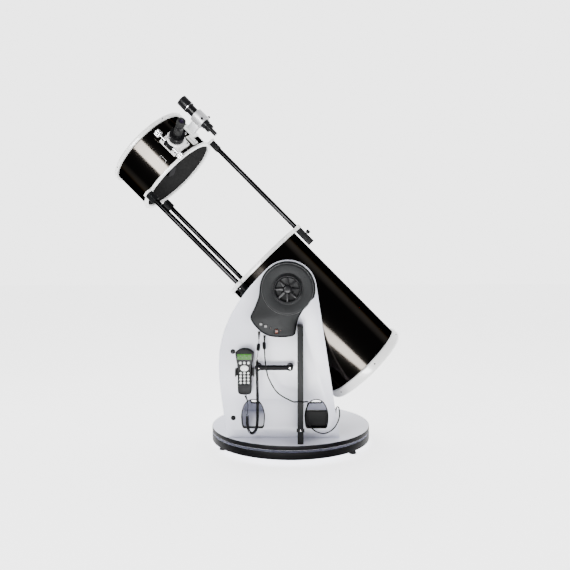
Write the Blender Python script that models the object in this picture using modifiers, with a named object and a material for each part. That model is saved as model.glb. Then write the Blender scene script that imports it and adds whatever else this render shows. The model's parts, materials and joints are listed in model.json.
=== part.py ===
"""Collapsible truss-rod Dobsonian reflector on a motorised rocker box, modelled in metres, +Z up."""
import math

import bmesh
import bpy
from mathutils import Matrix, Vector

# ---------------------------------------------------------------- driving dimensions
GAP = 0.0003                     # clearance between pieces that touch
ELEVATION = math.radians(45.3)   # tube above the horizon as stored

BOARD_RADIUS = 0.329
BOARD_THICKNESS = 0.018
BOARD_SIDES = 72
PIVOT_RADIUS = 0.006
PIVOT_HOLE = 0.0065
FOOT_HEIGHT = 0.025
FOOT_RADIUS = 0.014
FOOT_CIRCLE = 0.300
FOOT_ANGLES = {"foot_near_right": -35, "foot_far": 85, "foot_near_left": 205}
ROCKER_TOP = 0.076               # upper face of the rocker board above the floor

ALTITUDE_HEIGHT = 0.576          # altitude axis above the rocker board
ALTITUDE_OFFSET = -0.008         # altitude axis from the azimuth axis
PANEL_INNER = 0.201              # inner face of each side panel from the centre plane
PANEL_THICKNESS = 0.018
PANEL_TOP_RADIUS = 0.111
PANEL_OUTER = PANEL_INNER + PANEL_THICKNESS
FRONT_PANEL_X = -0.222
FRONT_PANEL_HEIGHT = 0.350
ARCH_WIDTH = 0.089
ARCH_HEIGHT = 0.111
ARCH_SILL = 0.037
ARCH_CENTRES = (-0.1435, 0.102)

TUBE_RADIUS = 0.1775
TUBE_WALL = 0.0012
TUBE_FIT = 0.0005                # what fits inside the tube clears its wall by this
RING_RADIUS = 0.188
RING_BORE = 0.171
TOP_CHAMFER = 0.004
BOTTOM_CHAMFER = 0.006
TUBE_STEPS = 60
BOTTOM_END = -0.470              # positions along the tube from the altitude axis, + to the sky
BOTTOM_RING_TOP = -0.432
TRUSS_RING_Z = (0.140, 0.156)
CAGE_LOWER_Z = (0.651, 0.660)
CAGE_TOP_Z = (0.816, 0.832)
ROD_RADIUS = 0.010
ROD_CIRCLE = 0.197
ROD_ANGLES = {"top": 0, "near": 130, "far": -130}   # about the tube axis, from its upper side
ROD_BOTTOM = 0.066
LUG_ANGLES = (0, 130, 230)
LUG_RADIUS = 0.214
LUG_HALF_WIDTH = 0.018
CLAMP_LENGTH = 0.078
CLAMP_SCREW_DROP = 0.034
TRUNNION_RADIUS = 0.060

MIRROR_RADIUS = 0.1525
MIRROR_THICKNESS = 0.030
MIRROR_Z = -0.400
CELL_Z = -0.424
COLLIMATION_CIRCLE = 0.110
COLLIMATION_ANGLES = {"collimation_knob_1": 60, "collimation_knob_2": 180, "collimation_knob_3": 300}
COLLIMATION_Z = -0.4545
FOCAL_LENGTH = 1.500
FOCUSER_ANGLE = 61
FOCUSER_Z = 0.717
FOCUSER_BASE = 0.082
FOCUS_SHAFT_SIDE = -0.034        # focus shaft from the drawtube axis, and from the tube axis
FOCUS_SHAFT_OUT = 0.201
DRAWTUBE_BORE = 0.0255
DIAGONAL_AXES = (0.0495, 0.035)
FINDER_ANGLE = 25
FINDER_CIRCLE = 0.251
FINDER_Z = 0.727                 # middle of the finder's ring
SHAFT_RADIUS = 0.014

GEAR_MODULE = 0.006
GEAR_TEETH = 51
PINION_TEETH = 9
PINION_PLACE = math.radians(-56)   # bearing of the azimuth motor about the azimuth axis

HOUSING_DEPTH = 0.045
HOUSING_WALL = 0.003
SWITCH_SIDE = -0.042             # power switch from the altitude axis
SWITCH_DROP = 0.160
BRACE_X = 0.0395
BRACE_WIDTH = 0.022
BRACE_DEPTH = 0.0935
BRACE_HEIGHT = 0.440
HANDSET_X = -0.172
HANDSET_BOTTOM = 0.173
HANDSET_HEIGHT = 0.184
HANDSET_BACK = -0.238
HANDSET_THICKNESS = 0.027
KEY_RADIUS = 0.0052
KEY_CLEARANCE = 0.0004
KEY_Y = 0.1240                   # heights on the handset, from its lower end
FUNCTION_KEYS = {"key_left": -0.0155, "key_middle": 0.0, "key_right": 0.0155}
PAD_Y = 0.1035
PAD_SIZE = (0.0155, 0.0112)
HANDLE_X = -0.060
HANDLE_Z = 0.278
HANDLE_LENGTH = 0.144
HANDLE_REACH = 0.038
GRIP_RADIUS = 0.010
POST_RADIUS = 0.013
CABLE_RADIUS = 0.002
COIL_RADIUS = 0.0055

# The stored object's box is centred on the origin: its left end is the cage's top ring and its
# right end is the bottom ring, so both follow from the lengths along the tube.
CAGE_SPAN = (RING_RADIUS - TOP_CHAMFER) * math.sin(ELEVATION)
CASTING_SPAN = (RING_RADIUS - BOTTOM_CHAMFER) * math.sin(ELEVATION)
LEFT_END = ALTITUDE_OFFSET - CAGE_TOP_Z[1] * math.cos(ELEVATION) - CAGE_SPAN
RIGHT_END = ALTITUDE_OFFSET - BOTTOM_END * math.cos(ELEVATION) + CASTING_SPAN
AZIMUTH_X = -(LEFT_END + RIGHT_END) / 2

FINISHES = {
    "white_laminate": ((0.86, 0.86, 0.89), 0.35, 0.0),
    "white_paint": ((0.88, 0.88, 0.87), 0.35, 0.0),
    "black_gloss_paint": ((0.018, 0.014, 0.011), 0.18, 0.35),
    "black_rod": ((0.015, 0.015, 0.016), 0.2, 0.3),
    "black_plastic": ((0.022, 0.023, 0.026), 0.45, 0.0),
    "charcoal_plastic": ((0.035, 0.038, 0.043), 0.5, 0.0),
    "black_rubber": ((0.012, 0.012, 0.012), 0.75, 0.0),
    "steel": ((0.60, 0.60, 0.60), 0.3, 1.0),
    "brass": ((0.70, 0.52, 0.24), 0.3, 1.0),
    "mirror": ((0.93, 0.94, 0.95), 0.03, 1.0),
    "light_key": ((0.80, 0.83, 0.80), 0.55, 0.0),
    "red_plastic": ((0.60, 0.08, 0.03), 0.35, 0.0),
}

for old in list(bpy.data.objects):
    bpy.data.objects.remove(old, do_unlink=True)

PARTS = bpy.data.collections.new("dobsonian_telescope")
CUTTERS = bpy.data.collections.new("cutters")
bpy.context.scene.collection.children.link(PARTS)
bpy.context.scene.collection.children.link(CUTTERS)


# ---------------------------------------------------------------- helpers
def finish(obj, kind):
    """Give the object its own plain material of the named kind."""
    colour, roughness, metallic = FINISHES[kind]
    material = bpy.data.materials.new(obj.name)
    material.use_nodes = True
    shader = material.node_tree.nodes["Principled BSDF"]
    shader.inputs["Base Color"].default_value = (*colour, 1.0)
    shader.inputs["Roughness"].default_value = roughness
    shader.inputs["Metallic"].default_value = metallic
    obj.data.materials.append(material)


def axis_empty(name, parent, location=(0, 0, 0), rotation=(0, 0, 0)):
    """An empty on a joint's axis, which its pieces are parented to."""
    empty = bpy.data.objects.new(name, None)
    PARTS.objects.link(empty)
    empty.parent = parent
    empty.location = location
    empty.rotation_euler = rotation
    return empty


def put(name, data, parent, kind, location=(0, 0, 0), rotation=(0, 0, 0)):
    """Add a sub-part to the model."""
    obj = bpy.data.objects.new(name, data)
    PARTS.objects.link(obj)
    obj.parent = parent
    obj.location = location
    obj.rotation_euler = rotation
    finish(obj, kind)
    return obj


def cutter(name, data, parent, location=(0, 0, 0), rotation=(0, 0, 0)):
    """Add a solid that only cuts or joins another."""
    obj = bpy.data.objects.new(name, data)
    CUTTERS.objects.link(obj)
    obj.parent = parent
    obj.location = location
    obj.rotation_euler = rotation
    obj.hide_render = True
    obj.display_type = "WIRE"
    return obj


def combine(obj, other, operation="DIFFERENCE"):
    """Cut another solid from this one, or join it on."""
    modifier = obj.modifiers.new(other.name, "BOOLEAN")
    modifier.operation = operation
    modifier.solver = "EXACT"
    modifier.object = other


def mesh_from(name, bm, smooth=True):
    """Turn a bmesh into a mesh with sharp edges kept sharp."""
    mesh = bpy.data.meshes.new(name)
    bmesh.ops.recalc_face_normals(bm, faces=bm.faces)
    bm.to_mesh(mesh)
    bm.free()
    if smooth:
        mesh.shade_smooth()
        mesh.set_sharp_from_angle(angle=math.radians(35))
    return mesh


def box_mesh(name, size, centre=(0, 0, 0)):
    """A box with its scale built in."""
    bm = bmesh.new()
    bmesh.ops.create_cube(bm, size=1.0)
    bmesh.ops.scale(bm, vec=size, verts=bm.verts)
    bmesh.ops.translate(bm, vec=centre, verts=bm.verts)
    return mesh_from(name, bm, smooth=False)


def cylinder_mesh(name, radius, low, high, sides=24, top_radius=None):
    """A cylinder or cone along Z between two heights."""
    bm = bmesh.new()
    top = radius if top_radius is None else top_radius
    bmesh.ops.create_cone(bm, cap_ends=True, segments=sides, radius1=radius, radius2=top, depth=high - low)
    bmesh.ops.translate(bm, vec=(0, 0, (low + high) / 2), verts=bm.verts)
    return mesh_from(name, bm)


def bevel(obj, width, segments=1, angle=30):
    """Round the edges sharper than the angle."""
    modifier = obj.modifiers.new("rounded_edges", "BEVEL")
    modifier.width = width
    modifier.segments = segments
    modifier.limit_method = "ANGLE"
    modifier.angle_limit = math.radians(angle)


def turned(name, profile, parent, kind, steps=32, location=(0, 0, 0), rotation=(0, 0, 0), ring=False):
    """A profile of (radius, height) turned about Z; a ring's profile closes on itself."""
    mesh = bpy.data.meshes.new(name)
    count = len(profile)
    edges = [(i, i + 1) for i in range(count - 1)]
    if ring:
        edges.append((count - 1, 0))
    mesh.from_pydata([(radius, 0, height) for radius, height in profile], edges, [])
    obj = put(name, mesh, parent, kind, location, rotation)
    screw = obj.modifiers.new("turned", "SCREW")
    screw.steps = steps
    screw.render_steps = steps
    screw.use_merge_vertices = True
    screw.merge_threshold = 0.00001
    return obj


def tube_profile(outer, inner, low, high):
    """The closed profile of a plain ring."""
    return [(outer, high), (outer, low), (inner, low), (inner, high)]


def circle(radius, sides=24, centre=(0, 0), phase=0.0):
    """Points of a circle."""
    angles = [phase + 2 * math.pi * i / sides for i in range(sides)]
    return [(centre[0] + radius * math.cos(a), centre[1] + radius * math.sin(a)) for a in angles]


def arc(centre, radius, start, end, count):
    """Points of an arc between two angles in degrees, both ends included."""
    angles = [math.radians(start + (end - start) * i / (count - 1)) for i in range(count)]
    return [(centre[0] + radius * math.cos(a), centre[1] + radius * math.sin(a)) for a in angles]


def bezier(start, handle_a, handle_b, end, count):
    """Points of a cubic curve, without its first point."""
    points = []
    for i in range(1, count + 1):
        t = i / count
        s = 1 - t
        weights = (s ** 3, 3 * s * s * t, 3 * s * t * t, t ** 3)
        corners = (start, handle_a, handle_b, end)
        points.append(tuple(sum(w * p[k] for w, p in zip(weights, corners)) for k in range(2)))
    return points


def smooth_through(points, per_span):
    """Points of a smooth open curve that passes through every given point."""
    places = [Vector(p) for p in points]
    places = [2 * places[0] - places[1]] + places + [2 * places[-1] - places[-2]]
    result = []
    for i in range(1, len(places) - 2):
        a, b, c, d = places[i - 1:i + 3]
        for j in range(per_span):
            t = j / per_span
            bend = (2 * a - 5 * b + 4 * c - d) * t * t + (3 * b - a - 3 * c + d) * t ** 3
            result.append(0.5 * (2 * b + (c - a) * t + bend))
    result.append(places[-2])
    return result


def plate_curve(name, outlines, thickness):
    """A flat plate whose first outline is its edge and whose other outlines are holes."""
    curve = bpy.data.curves.new(name, "CURVE")
    curve.dimensions = "2D"
    curve.fill_mode = "BOTH"
    curve.extrude = thickness / 2
    for outline in outlines:
        spline = curve.splines.new("POLY")
        spline.points.add(len(outline) - 1)
        for point, (x, y) in zip(spline.points, outline):
            point.co = (x, y, 0, 1)
        spline.use_cyclic_u = True
    return curve


def solid_from_curve(obj):
    """Swap a curve object for the welded mesh of the same shape, which can be cut."""
    bpy.context.view_layer.update()
    evaluated = obj.evaluated_get(bpy.context.evaluated_depsgraph_get())
    mesh = bpy.data.meshes.new_from_object(evaluated)
    bm = bmesh.new()
    bm.from_mesh(mesh)
    bmesh.ops.remove_doubles(bm, verts=bm.verts, dist=0.00001)
    bm.to_mesh(mesh)
    bm.free()
    name = obj.name
    solid = bpy.data.objects.new(name + "_solid", mesh)
    obj.users_collection[0].objects.link(solid)
    solid.parent = obj.parent
    solid.matrix_world = obj.matrix_world.copy()
    bpy.data.objects.remove(obj, do_unlink=True)
    solid.name = name
    return solid


def wire(name, points, radius, parent, kind, radii=None):
    """A round wire, rod or cord along the points; radii scale it point by point."""
    curve = bpy.data.curves.new(name, "CURVE")
    curve.dimensions = "3D"
    curve.bevel_depth = radius
    curve.bevel_resolution = 2
    curve.use_fill_caps = True
    spline = curve.splines.new("POLY")
    spline.points.add(len(points) - 1)
    for i, (point, place) in enumerate(zip(spline.points, points)):
        point.co = (*place, 1)
        point.radius = 1.0 if radii is None else radii[i]
    return put(name, curve, parent, kind)


def joined_mesh(name, meshes):
    """One mesh of several shapes that don't touch, for a cutter that cuts or joins them all at once."""
    bm = bmesh.new()
    for mesh, matrix in meshes:
        mesh.transform(matrix)
        bm.from_mesh(mesh)
    return mesh_from(name, bm)


def around_tube(angle, radius, z):
    """Place at an angle from the tube's upper side towards the near side."""
    a = math.radians(angle)
    return (radius * math.cos(a), -radius * math.sin(a), z)


# ---------------------------------------------------------------- joint axes
BASE = axis_empty("base_frame", None, (AZIMUTH_X, 0, 0))
ROCKER = axis_empty("azimuth_axis", None, (AZIMUTH_X, 0, ROCKER_TOP))
TUBE = axis_empty("altitude_axis", ROCKER, (ALTITUDE_OFFSET, 0, ALTITUDE_HEIGHT),
                  (0, ELEVATION - math.pi / 2, 0))
CAGE = axis_empty("truss_slide", TUBE)
FOCUSER = axis_empty("focuser_slide", CAGE, (0, 0, FOCUSER_Z),
                     (0, math.pi / 2, -math.radians(FOCUSER_ANGLE)))

NEAR_FACE = (math.pi / 2, 0, 0)    # turns a flat drawing to stand facing the near side
FAR_FACE = (-math.pi / 2, 0, 0)
ARCHES = [[(centre + x * ARCH_WIDTH / 2, ARCH_SILL + y * ARCH_HEIGHT)
           for x, y in ((-0.80, 0.0), (-0.90, 0.05), (-0.97, 0.22), (-1.0, 0.42), (-0.94, 0.60),
                        (-0.79, 0.78), (-0.54, 0.92), (-0.20, 0.99), (0.20, 0.99), (0.54, 0.92),
                        (0.79, 0.78), (0.94, 0.60), (1.0, 0.42), (0.97, 0.22), (0.90, 0.05),
                        (0.80, 0.0))]
          for centre in ARCH_CENTRES]


# ---------------------------------------------------------------- ground board
def gear_outline(teeth, module, root_flank, tip_flank, phase):
    """A toothed rim: flanks are the half widths of a tooth at its root and at its tip."""
    pitch = teeth * module / 2
    root = pitch - 1.15 * module
    tip = pitch + 0.85 * module
    points = []
    for i in range(teeth):
        middle = phase + 2 * math.pi * i / teeth
        for radius, half in ((root, -root_flank), (tip, -tip_flank), (tip, tip_flank), (root, root_flank)):
            angle = middle + half / radius
            points.append((radius * math.cos(angle), radius * math.sin(angle)))
    return points


def ground_board():
    """Lower disc, feet, pivot bolt, thrust bearing and the fixed ring gear."""
    middle = FOOT_HEIGHT + GAP + BOARD_THICKNESS / 2
    outlines = [circle(BOARD_RADIUS, BOARD_SIDES), circle(PIVOT_HOLE, 16)]
    board = plate_curve("ground_board", outlines, BOARD_THICKNESS)
    put("ground_board", board, BASE, "white_laminate", (0, 0, middle))
    foot = [(0, FOOT_HEIGHT), (0.012, FOOT_HEIGHT), (0.012, 0.008), (FOOT_RADIUS, 0.006),
            (FOOT_RADIUS, 0), (0, 0)]
    for name, angle in FOOT_ANGLES.items():
        a = math.radians(angle)
        place = (FOOT_CIRCLE * math.cos(a), FOOT_CIRCLE * math.sin(a), 0)
        turned(name, foot, BASE, "black_rubber", 16, place)
    top = FOOT_HEIGHT + GAP + BOARD_THICKNESS
    gear_z = (top + GAP, top + 0.0085)
    gear = gear_outline(GEAR_TEETH, GEAR_MODULE, 0.0044, 0.0022, 0.0)
    rim = plate_curve("azimuth_gear", [gear, circle(0.110, 24)], gear_z[1] - gear_z[0])
    put("azimuth_gear", rim, BASE, "black_plastic", (0, 0, sum(gear_z) / 2))
    under_rocker = ROCKER_TOP - BOARD_THICKNESS - GAP
    washer = tube_profile(0.060, 0.030, top + GAP, under_rocker)
    turned("azimuth_bearing", washer, BASE, "steel", 32, ring=True)
    nut = ROCKER_TOP + GAP
    bolt = [(0, nut + 0.012), (0.016, nut + 0.012), (0.016, nut), (PIVOT_RADIUS, nut),
            (PIVOT_RADIUS, FOOT_HEIGHT), (0.013, FOOT_HEIGHT), (0.013, 0.016), (0, 0.016)]
    turned("pivot_bolt", bolt, BASE, "steel", 16)


# ---------------------------------------------------------------- rocker box
def side_panel_outline():
    """Round top about the altitude axis, bulging front edge, straight back edge."""
    axis = (ALTITUDE_OFFSET, ALTITUDE_HEIGHT)
    top = arc(axis, PANEL_TOP_RADIUS, 9, 134, 18)
    left = top[-1]
    bulge = (-0.275, 0.278)
    foot = (-0.245, 0.0)
    upper = bezier(left, (left[0] - 0.133, left[1] - 0.128), (bulge[0], 0.418), bulge, 9)
    lower = bezier(bulge, (bulge[0], 0.190), (foot[0] - 0.010, 0.090), foot, 6)
    return top + upper + lower + [(0.191, 0.0)]


def rocker_boards():
    """Rocker board, two side panels and the front panel between them."""
    pinion = gear_centre()
    holes = [circle(PIVOT_HOLE, 16), circle(0.0085, 16, pinion)]
    board = plate_curve("rocker_board", [circle(BOARD_RADIUS, BOARD_SIDES)] + holes, BOARD_THICKNESS)
    put("rocker_board", board, ROCKER, "white_laminate", (0, 0, -BOARD_THICKNESS / 2))
    shaft_hole = circle(SHAFT_RADIUS + 0.001, 24, (ALTITUDE_OFFSET, ALTITUDE_HEIGHT))
    outline = side_panel_outline()
    for name, side in (("near_side_panel", -1), ("far_side_panel", 1)):
        panel = plate_curve(name, [outline, shaft_hole] + ARCHES, PANEL_THICKNESS)
        middle = side * (PANEL_INNER + PANEL_THICKNESS / 2)
        put(name, panel, ROCKER, "white_laminate", (0, middle, GAP), NEAR_FACE)
    size = (PANEL_THICKNESS, 2 * (PANEL_INNER - GAP), FRONT_PANEL_HEIGHT)
    front = box_mesh("front_panel", size, (0, 0, FRONT_PANEL_HEIGHT / 2 + GAP))
    obj = put("front_panel", front, ROCKER, "white_laminate", (FRONT_PANEL_X, 0, 0))
    bevel(obj, 0.001)


def side_brace():
    """Upright stiffening rib on the near panel, with a clip low on its front edge."""
    near = -PANEL_OUTER - GAP
    outline = [(0, 0), (BRACE_DEPTH, 0), (BRACE_DEPTH, BRACE_HEIGHT - 0.006),
               (BRACE_DEPTH - 0.006, BRACE_HEIGHT), (0, BRACE_HEIGHT)]
    rib = plate_curve("side_brace", [outline], BRACE_WIDTH)
    place = (BRACE_X, near, GAP)
    obj = put("side_brace", rib, ROCKER, "black_plastic", place, (math.pi / 2, 0, -math.pi / 2))
    rib = solid_from_curve(obj)
    size = (0.030, 0.014, 0.011)
    place = (BRACE_X, near - BRACE_DEPTH + 0.006, 0.052)
    clip = cutter("brace_clip", box_mesh("brace_clip", size), ROCKER, place)
    combine(rib, clip, "UNION")


def carry_handle():
    """Horizontal grip on two round posts."""
    near = -PANEL_OUTER - GAP
    reach = near - HANDLE_REACH
    half = HANDLE_LENGTH / 2
    grip = cylinder_mesh("carry_handle", GRIP_RADIUS, -half, half, 20)
    place = (HANDLE_X, reach, HANDLE_Z)
    handle = put("carry_handle", grip, ROCKER, "black_plastic", place, (0, math.pi / 2, 0))
    for side in (-1, 1):
        post = cylinder_mesh("handle_post", POST_RADIUS, 0, HANDLE_REACH + 0.011, 20)
        place = (HANDLE_X + side * (half - 0.012), near, HANDLE_Z)
        combine(handle, cutter("handle_post", post, ROCKER, place, NEAR_FACE), "UNION")


def housing_outline():
    """Round about the altitude axis, with a skirt that flares down to the sockets."""
    radius = 0.106
    skirt = [(-0.1105, -0.030), (-0.1265, -0.072), (-0.1415, -0.104), (-0.1330, -0.128), (-0.1090, -0.156),
             (-0.0810, -0.174), (-0.0510, -0.182), (-0.0020, -0.182), (0.0270, -0.172), (0.0332, -0.140),
             (0.0450, -0.104), (0.0720, -0.062)]
    round_part = arc((0, 0), radius, -18, 180, 22)
    blend = smooth_through([round_part[-1]] + skirt + [round_part[0]], 2)
    return round_part + [tuple(p) for p in blend[1:-1]]


def altitude_drive():
    """Moulded cover over the altitude motor and its gear, with the power switch."""
    bm = bmesh.new()
    outline = housing_outline()
    corners = [bm.verts.new((x, y, 0)) for x, y in outline]
    base = bm.faces.new(corners)
    walls = bmesh.ops.extrude_face_region(bm, geom=[base])
    raised = [v for v in walls["geom"] if isinstance(v, bmesh.types.BMVert)]
    bmesh.ops.translate(bm, vec=(0, 0, HOUSING_DEPTH), verts=raised)
    bmesh.ops.recalc_face_normals(bm, faces=bm.faces)
    open_side = [f for f in bm.faces if all(abs(v.co.z) < 1e-6 for v in f.verts)]
    bmesh.ops.delete(bm, geom=open_side, context="FACES_ONLY")
    mesh = bpy.data.meshes.new("altitude_drive_housing")
    bm.to_mesh(mesh)
    bm.free()
    axis = (ALTITUDE_OFFSET, -PANEL_OUTER - GAP, ALTITUDE_HEIGHT)
    cover = put("altitude_drive_housing", mesh, ROCKER, "charcoal_plastic", axis, NEAR_FACE)
    bevel(cover, 0.005, 1, 60)
    wall = cover.modifiers.new("wall", "SOLIDIFY")
    wall.thickness = HOUSING_WALL
    wall.offset = -1
    hole = cylinder_mesh("clutch_hole", SHAFT_RADIUS + 0.002, 0.02, 0.06, 24)
    combine(cover, cutter("clutch_hole", hole, ROCKER, axis, NEAR_FACE))
    switch = (ALTITUDE_OFFSET + SWITCH_SIDE, axis[1] - HOUSING_DEPTH + 0.002, ALTITUDE_HEIGHT - SWITCH_DROP)
    slot = box_mesh("switch_slot", (0.011, 0.020, 0.017))
    combine(cover, cutter("switch_slot", slot, ROCKER, switch))
    rocker = cylinder_mesh("power_switch", 0.008, -0.005, 0.005, 20)
    put("power_switch", rocker, ROCKER, "red_plastic", (switch[0], switch[1] + 0.0015, switch[2]),
        (0, math.pi / 2, 0))
    body = box_mesh("altitude_motor", (0.052, 0.030, 0.046))
    place = (ALTITUDE_OFFSET - 0.045, axis[1] - 0.020, ALTITUDE_HEIGHT - 0.105)
    motor = put("altitude_motor", body, ROCKER, "steel", place)
    worm = cylinder_mesh("worm", 0.006, 0, 0.062, 16)
    worm_place = (place[0] + 0.018, place[1], place[2] + 0.034)
    combine(motor, cutter("worm", worm, ROCKER, worm_place, (0, math.pi / 2, 0)), "UNION")
    link = box_mesh("worm_carrier", (0.014, 0.008, 0.018))
    link_place = (place[0] + 0.018, place[1], place[2] + 0.027)
    combine(motor, cutter("worm_carrier", link, ROCKER, link_place), "UNION")


def far_bearing():
    """Round cover over the far altitude bearing."""
    profile = [(0, 0.026), (0.040, 0.026), (0.058, 0.018), (0.062, 0.0), (SHAFT_RADIUS + 0.001, 0.0),
               (SHAFT_RADIUS + 0.001, 0.020), (0, 0.020)]
    place = (ALTITUDE_OFFSET, PANEL_OUTER + GAP, ALTITUDE_HEIGHT)
    turned("far_bearing_cover", profile, ROCKER, "charcoal_plastic", 32, place, FAR_FACE)


def gear_centre():
    """Where the azimuth pinion turns, from the azimuth axis."""
    distance = (GEAR_TEETH + PINION_TEETH) * GEAR_MODULE / 2
    return (distance * math.cos(PINION_PLACE), distance * math.sin(PINION_PLACE))


def azimuth_drive():
    """Motor and gearbox inside the rocker box, and the pinion that walks round the ring gear."""
    outline = [(-0.1980, 0.0), (-0.1980, 0.1000), (-0.1700, 0.0960), (-0.1100, 0.0740), (-0.1000, 0.0640),
               (-0.1000, 0.0)]
    low, high = 0.048, 0.160
    block = plate_curve("azimuth_drive", [outline], high - low)
    place = ((low + high) / 2, 0, GAP)
    drive = put("azimuth_drive", block, ROCKER, "black_plastic", place, (math.pi / 2, 0, math.pi / 2))
    drive = solid_from_curve(drive)
    bevel(drive, 0.004)
    x, y = gear_centre()
    low = FOOT_HEIGHT + BOARD_THICKNESS + 0.0015 - ROCKER_TOP
    slip = (GEAR_TEETH * PINION_PLACE / (2 * math.pi)) % 1
    phase = PINION_PLACE + math.pi + (slip - 0.5) * 2 * math.pi / PINION_TEETH
    teeth = gear_outline(PINION_TEETH, GEAR_MODULE, 0.0036, 0.0020, phase)
    wheel = plate_curve("azimuth_pinion", [teeth], 0.008)
    pinion = put("azimuth_pinion", wheel, ROCKER, "brass", (x, y, low + 0.004))
    pinion = solid_from_curve(pinion)
    shaft = cylinder_mesh("pinion_shaft", 0.006, low + 0.002, -GAP, 16)
    combine(pinion, cutter("pinion_shaft", shaft, ROCKER, (x, y, 0)), "UNION")


# ---------------------------------------------------------------- hand controller
def handset_outline():
    """Round head, narrower body, slightly drawn-in foot; from its lower end."""
    top = arc((0, HANDSET_HEIGHT - 0.047), 0.045, 38, 142, 9)
    right = [(0.0330, HANDSET_HEIGHT - 0.042), (0.0275, 0.112), (0.0262, 0.085), (0.0262, 0.012),
             (0.0215, 0.004)]
    middle = [(0.0, 0.0)]
    return top + [(-x, y) for x, y in right] + middle + right[::-1]


def key_grid():
    """Centres of the number keys, from the handset's lower end."""
    return [(column * 0.0145, 0.0490 + row * 0.0121) for row in range(4) for column in (-1, 0, 1)]


def handset():
    """Hand controller in its holder, with keys that press in."""
    front = HANDSET_BACK - HANDSET_THICKNESS
    middle = (HANDSET_X, HANDSET_BACK - HANDSET_THICKNESS / 2, HANDSET_BOTTOM)
    shape = plate_curve("handset_case", [handset_outline()], HANDSET_THICKNESS)
    case = solid_from_curve(put("handset_case", shape, ROCKER, "black_plastic", middle, NEAR_FACE))
    bevel(case, 0.003, 2, 60)
    face = (HANDSET_X, front, HANDSET_BOTTOM)
    well = box_mesh("number_well", (0.0440, 0.0480, 0.007), (0, 0.0671, 0))
    combine(case, cutter("number_well", well, ROCKER, face, NEAR_FACE))
    web = box_mesh("number_keys", (0.0430, 0.0470, 0.001), (0, 0.0671, -0.0015))
    keys = put("number_keys", web, ROCKER, "light_key", face, NEAR_FACE)
    domes = [(cylinder_mesh("dome", 0.0046, -0.0018, 0.0020, 8), Matrix.Translation((x, y, 0)))
             for x, y in key_grid()]
    dome_mesh = joined_mesh("number_domes", domes)
    combine(keys, cutter("number_domes", dome_mesh, ROCKER, face, NEAR_FACE), "UNION")
    well_radius = KEY_RADIUS + KEY_CLEARANCE
    wells = [(cylinder_mesh("well", well_radius, -0.0035, 0.0035, 16), Matrix.Translation((x, KEY_Y, 0)))
             for x in FUNCTION_KEYS.values()]
    combine(case, cutter("key_wells", joined_mesh("key_wells", wells), ROCKER, face, NEAR_FACE))
    for name, x in FUNCTION_KEYS.items():
        key = cylinder_mesh(name, KEY_RADIUS, -0.0020, 0.0018, 16)
        put(name, key, ROCKER, "light_key", (HANDSET_X + x, front, HANDSET_BOTTOM + KEY_Y), NEAR_FACE)
    pad_place = (HANDSET_X, front, HANDSET_BOTTOM + PAD_Y)
    oval = [(x * PAD_SIZE[0], y * PAD_SIZE[1]) for x, y in circle(1.0, 24)]
    pad = plate_curve("direction_pad", [oval], 0.004)
    put("direction_pad", pad, ROCKER, "light_key", pad_place, NEAR_FACE)
    pad_well = cylinder_mesh("pad_well", 1.0, -0.0035, 0.0035, 24)
    pad_well.transform(Matrix.Diagonal((PAD_SIZE[0] + KEY_CLEARANCE, PAD_SIZE[1] + KEY_CLEARANCE, 1.0, 1.0)))
    combine(case, cutter("pad_well", pad_well, ROCKER, pad_place, NEAR_FACE))


def handset_holder():
    """Bracket behind the handset, with a clip on each side of it."""
    back = -PANEL_OUTER - GAP
    depth = back - HANDSET_BACK - GAP
    size = (0.046, depth, 0.070)
    plate = box_mesh("handset_holder", size)
    place = (HANDSET_X, back - depth / 2, HANDSET_BOTTOM + 0.085)
    holder = put("handset_holder", plate, ROCKER, "black_plastic", place)
    for side in (-1, 1):
        arm = box_mesh("holder_arm", (0.018, 0.006, 0.030))
        arm_place = (HANDSET_X + side * 0.0275, back - 0.0120, place[2])
        combine(holder, cutter("holder_arm", arm, ROCKER, arm_place), "UNION")
        tab = box_mesh("holder_tab", (0.004, 0.030, 0.030))
        tab_place = (HANDSET_X + side * 0.0345, back - 0.0240, place[2])
        combine(holder, cutter("holder_tab", tab, ROCKER, tab_place), "UNION")


# ---------------------------------------------------------------- cords
HANDSET_CORD_ROUTE = [
    (-0.1170, -0.2420, 0.4140), (-0.1180, -0.2440, 0.3800), (-0.1195, -0.2520, 0.3550),
    (-0.1215, -0.2660, 0.3250), (-0.1230, -0.2750, 0.2950), (-0.1235, -0.2760, 0.2700),
    (-0.1230, -0.2740, 0.2300), (-0.1225, -0.2720, 0.1900), (-0.1225, -0.2690, 0.1500),
    (-0.1230, -0.2660, 0.1100), (-0.1240, -0.2635, 0.0750), (-0.1270, -0.2615, 0.0500),
    (-0.1350, -0.2600, 0.0330), (-0.1455, -0.2595, 0.0270), (-0.1560, -0.2590, 0.0360),
    (-0.1615, -0.2585, 0.0570), (-0.1625, -0.2580, 0.0850), (-0.1610, -0.2570, 0.1120),
    (-0.1600, -0.2555, 0.1330), (-0.1630, -0.2535, 0.1530), (-0.1700, -0.2515, 0.1705),
]
HANDSET_COIL = (3, 17)           # route points between which the cord is curled
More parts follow.
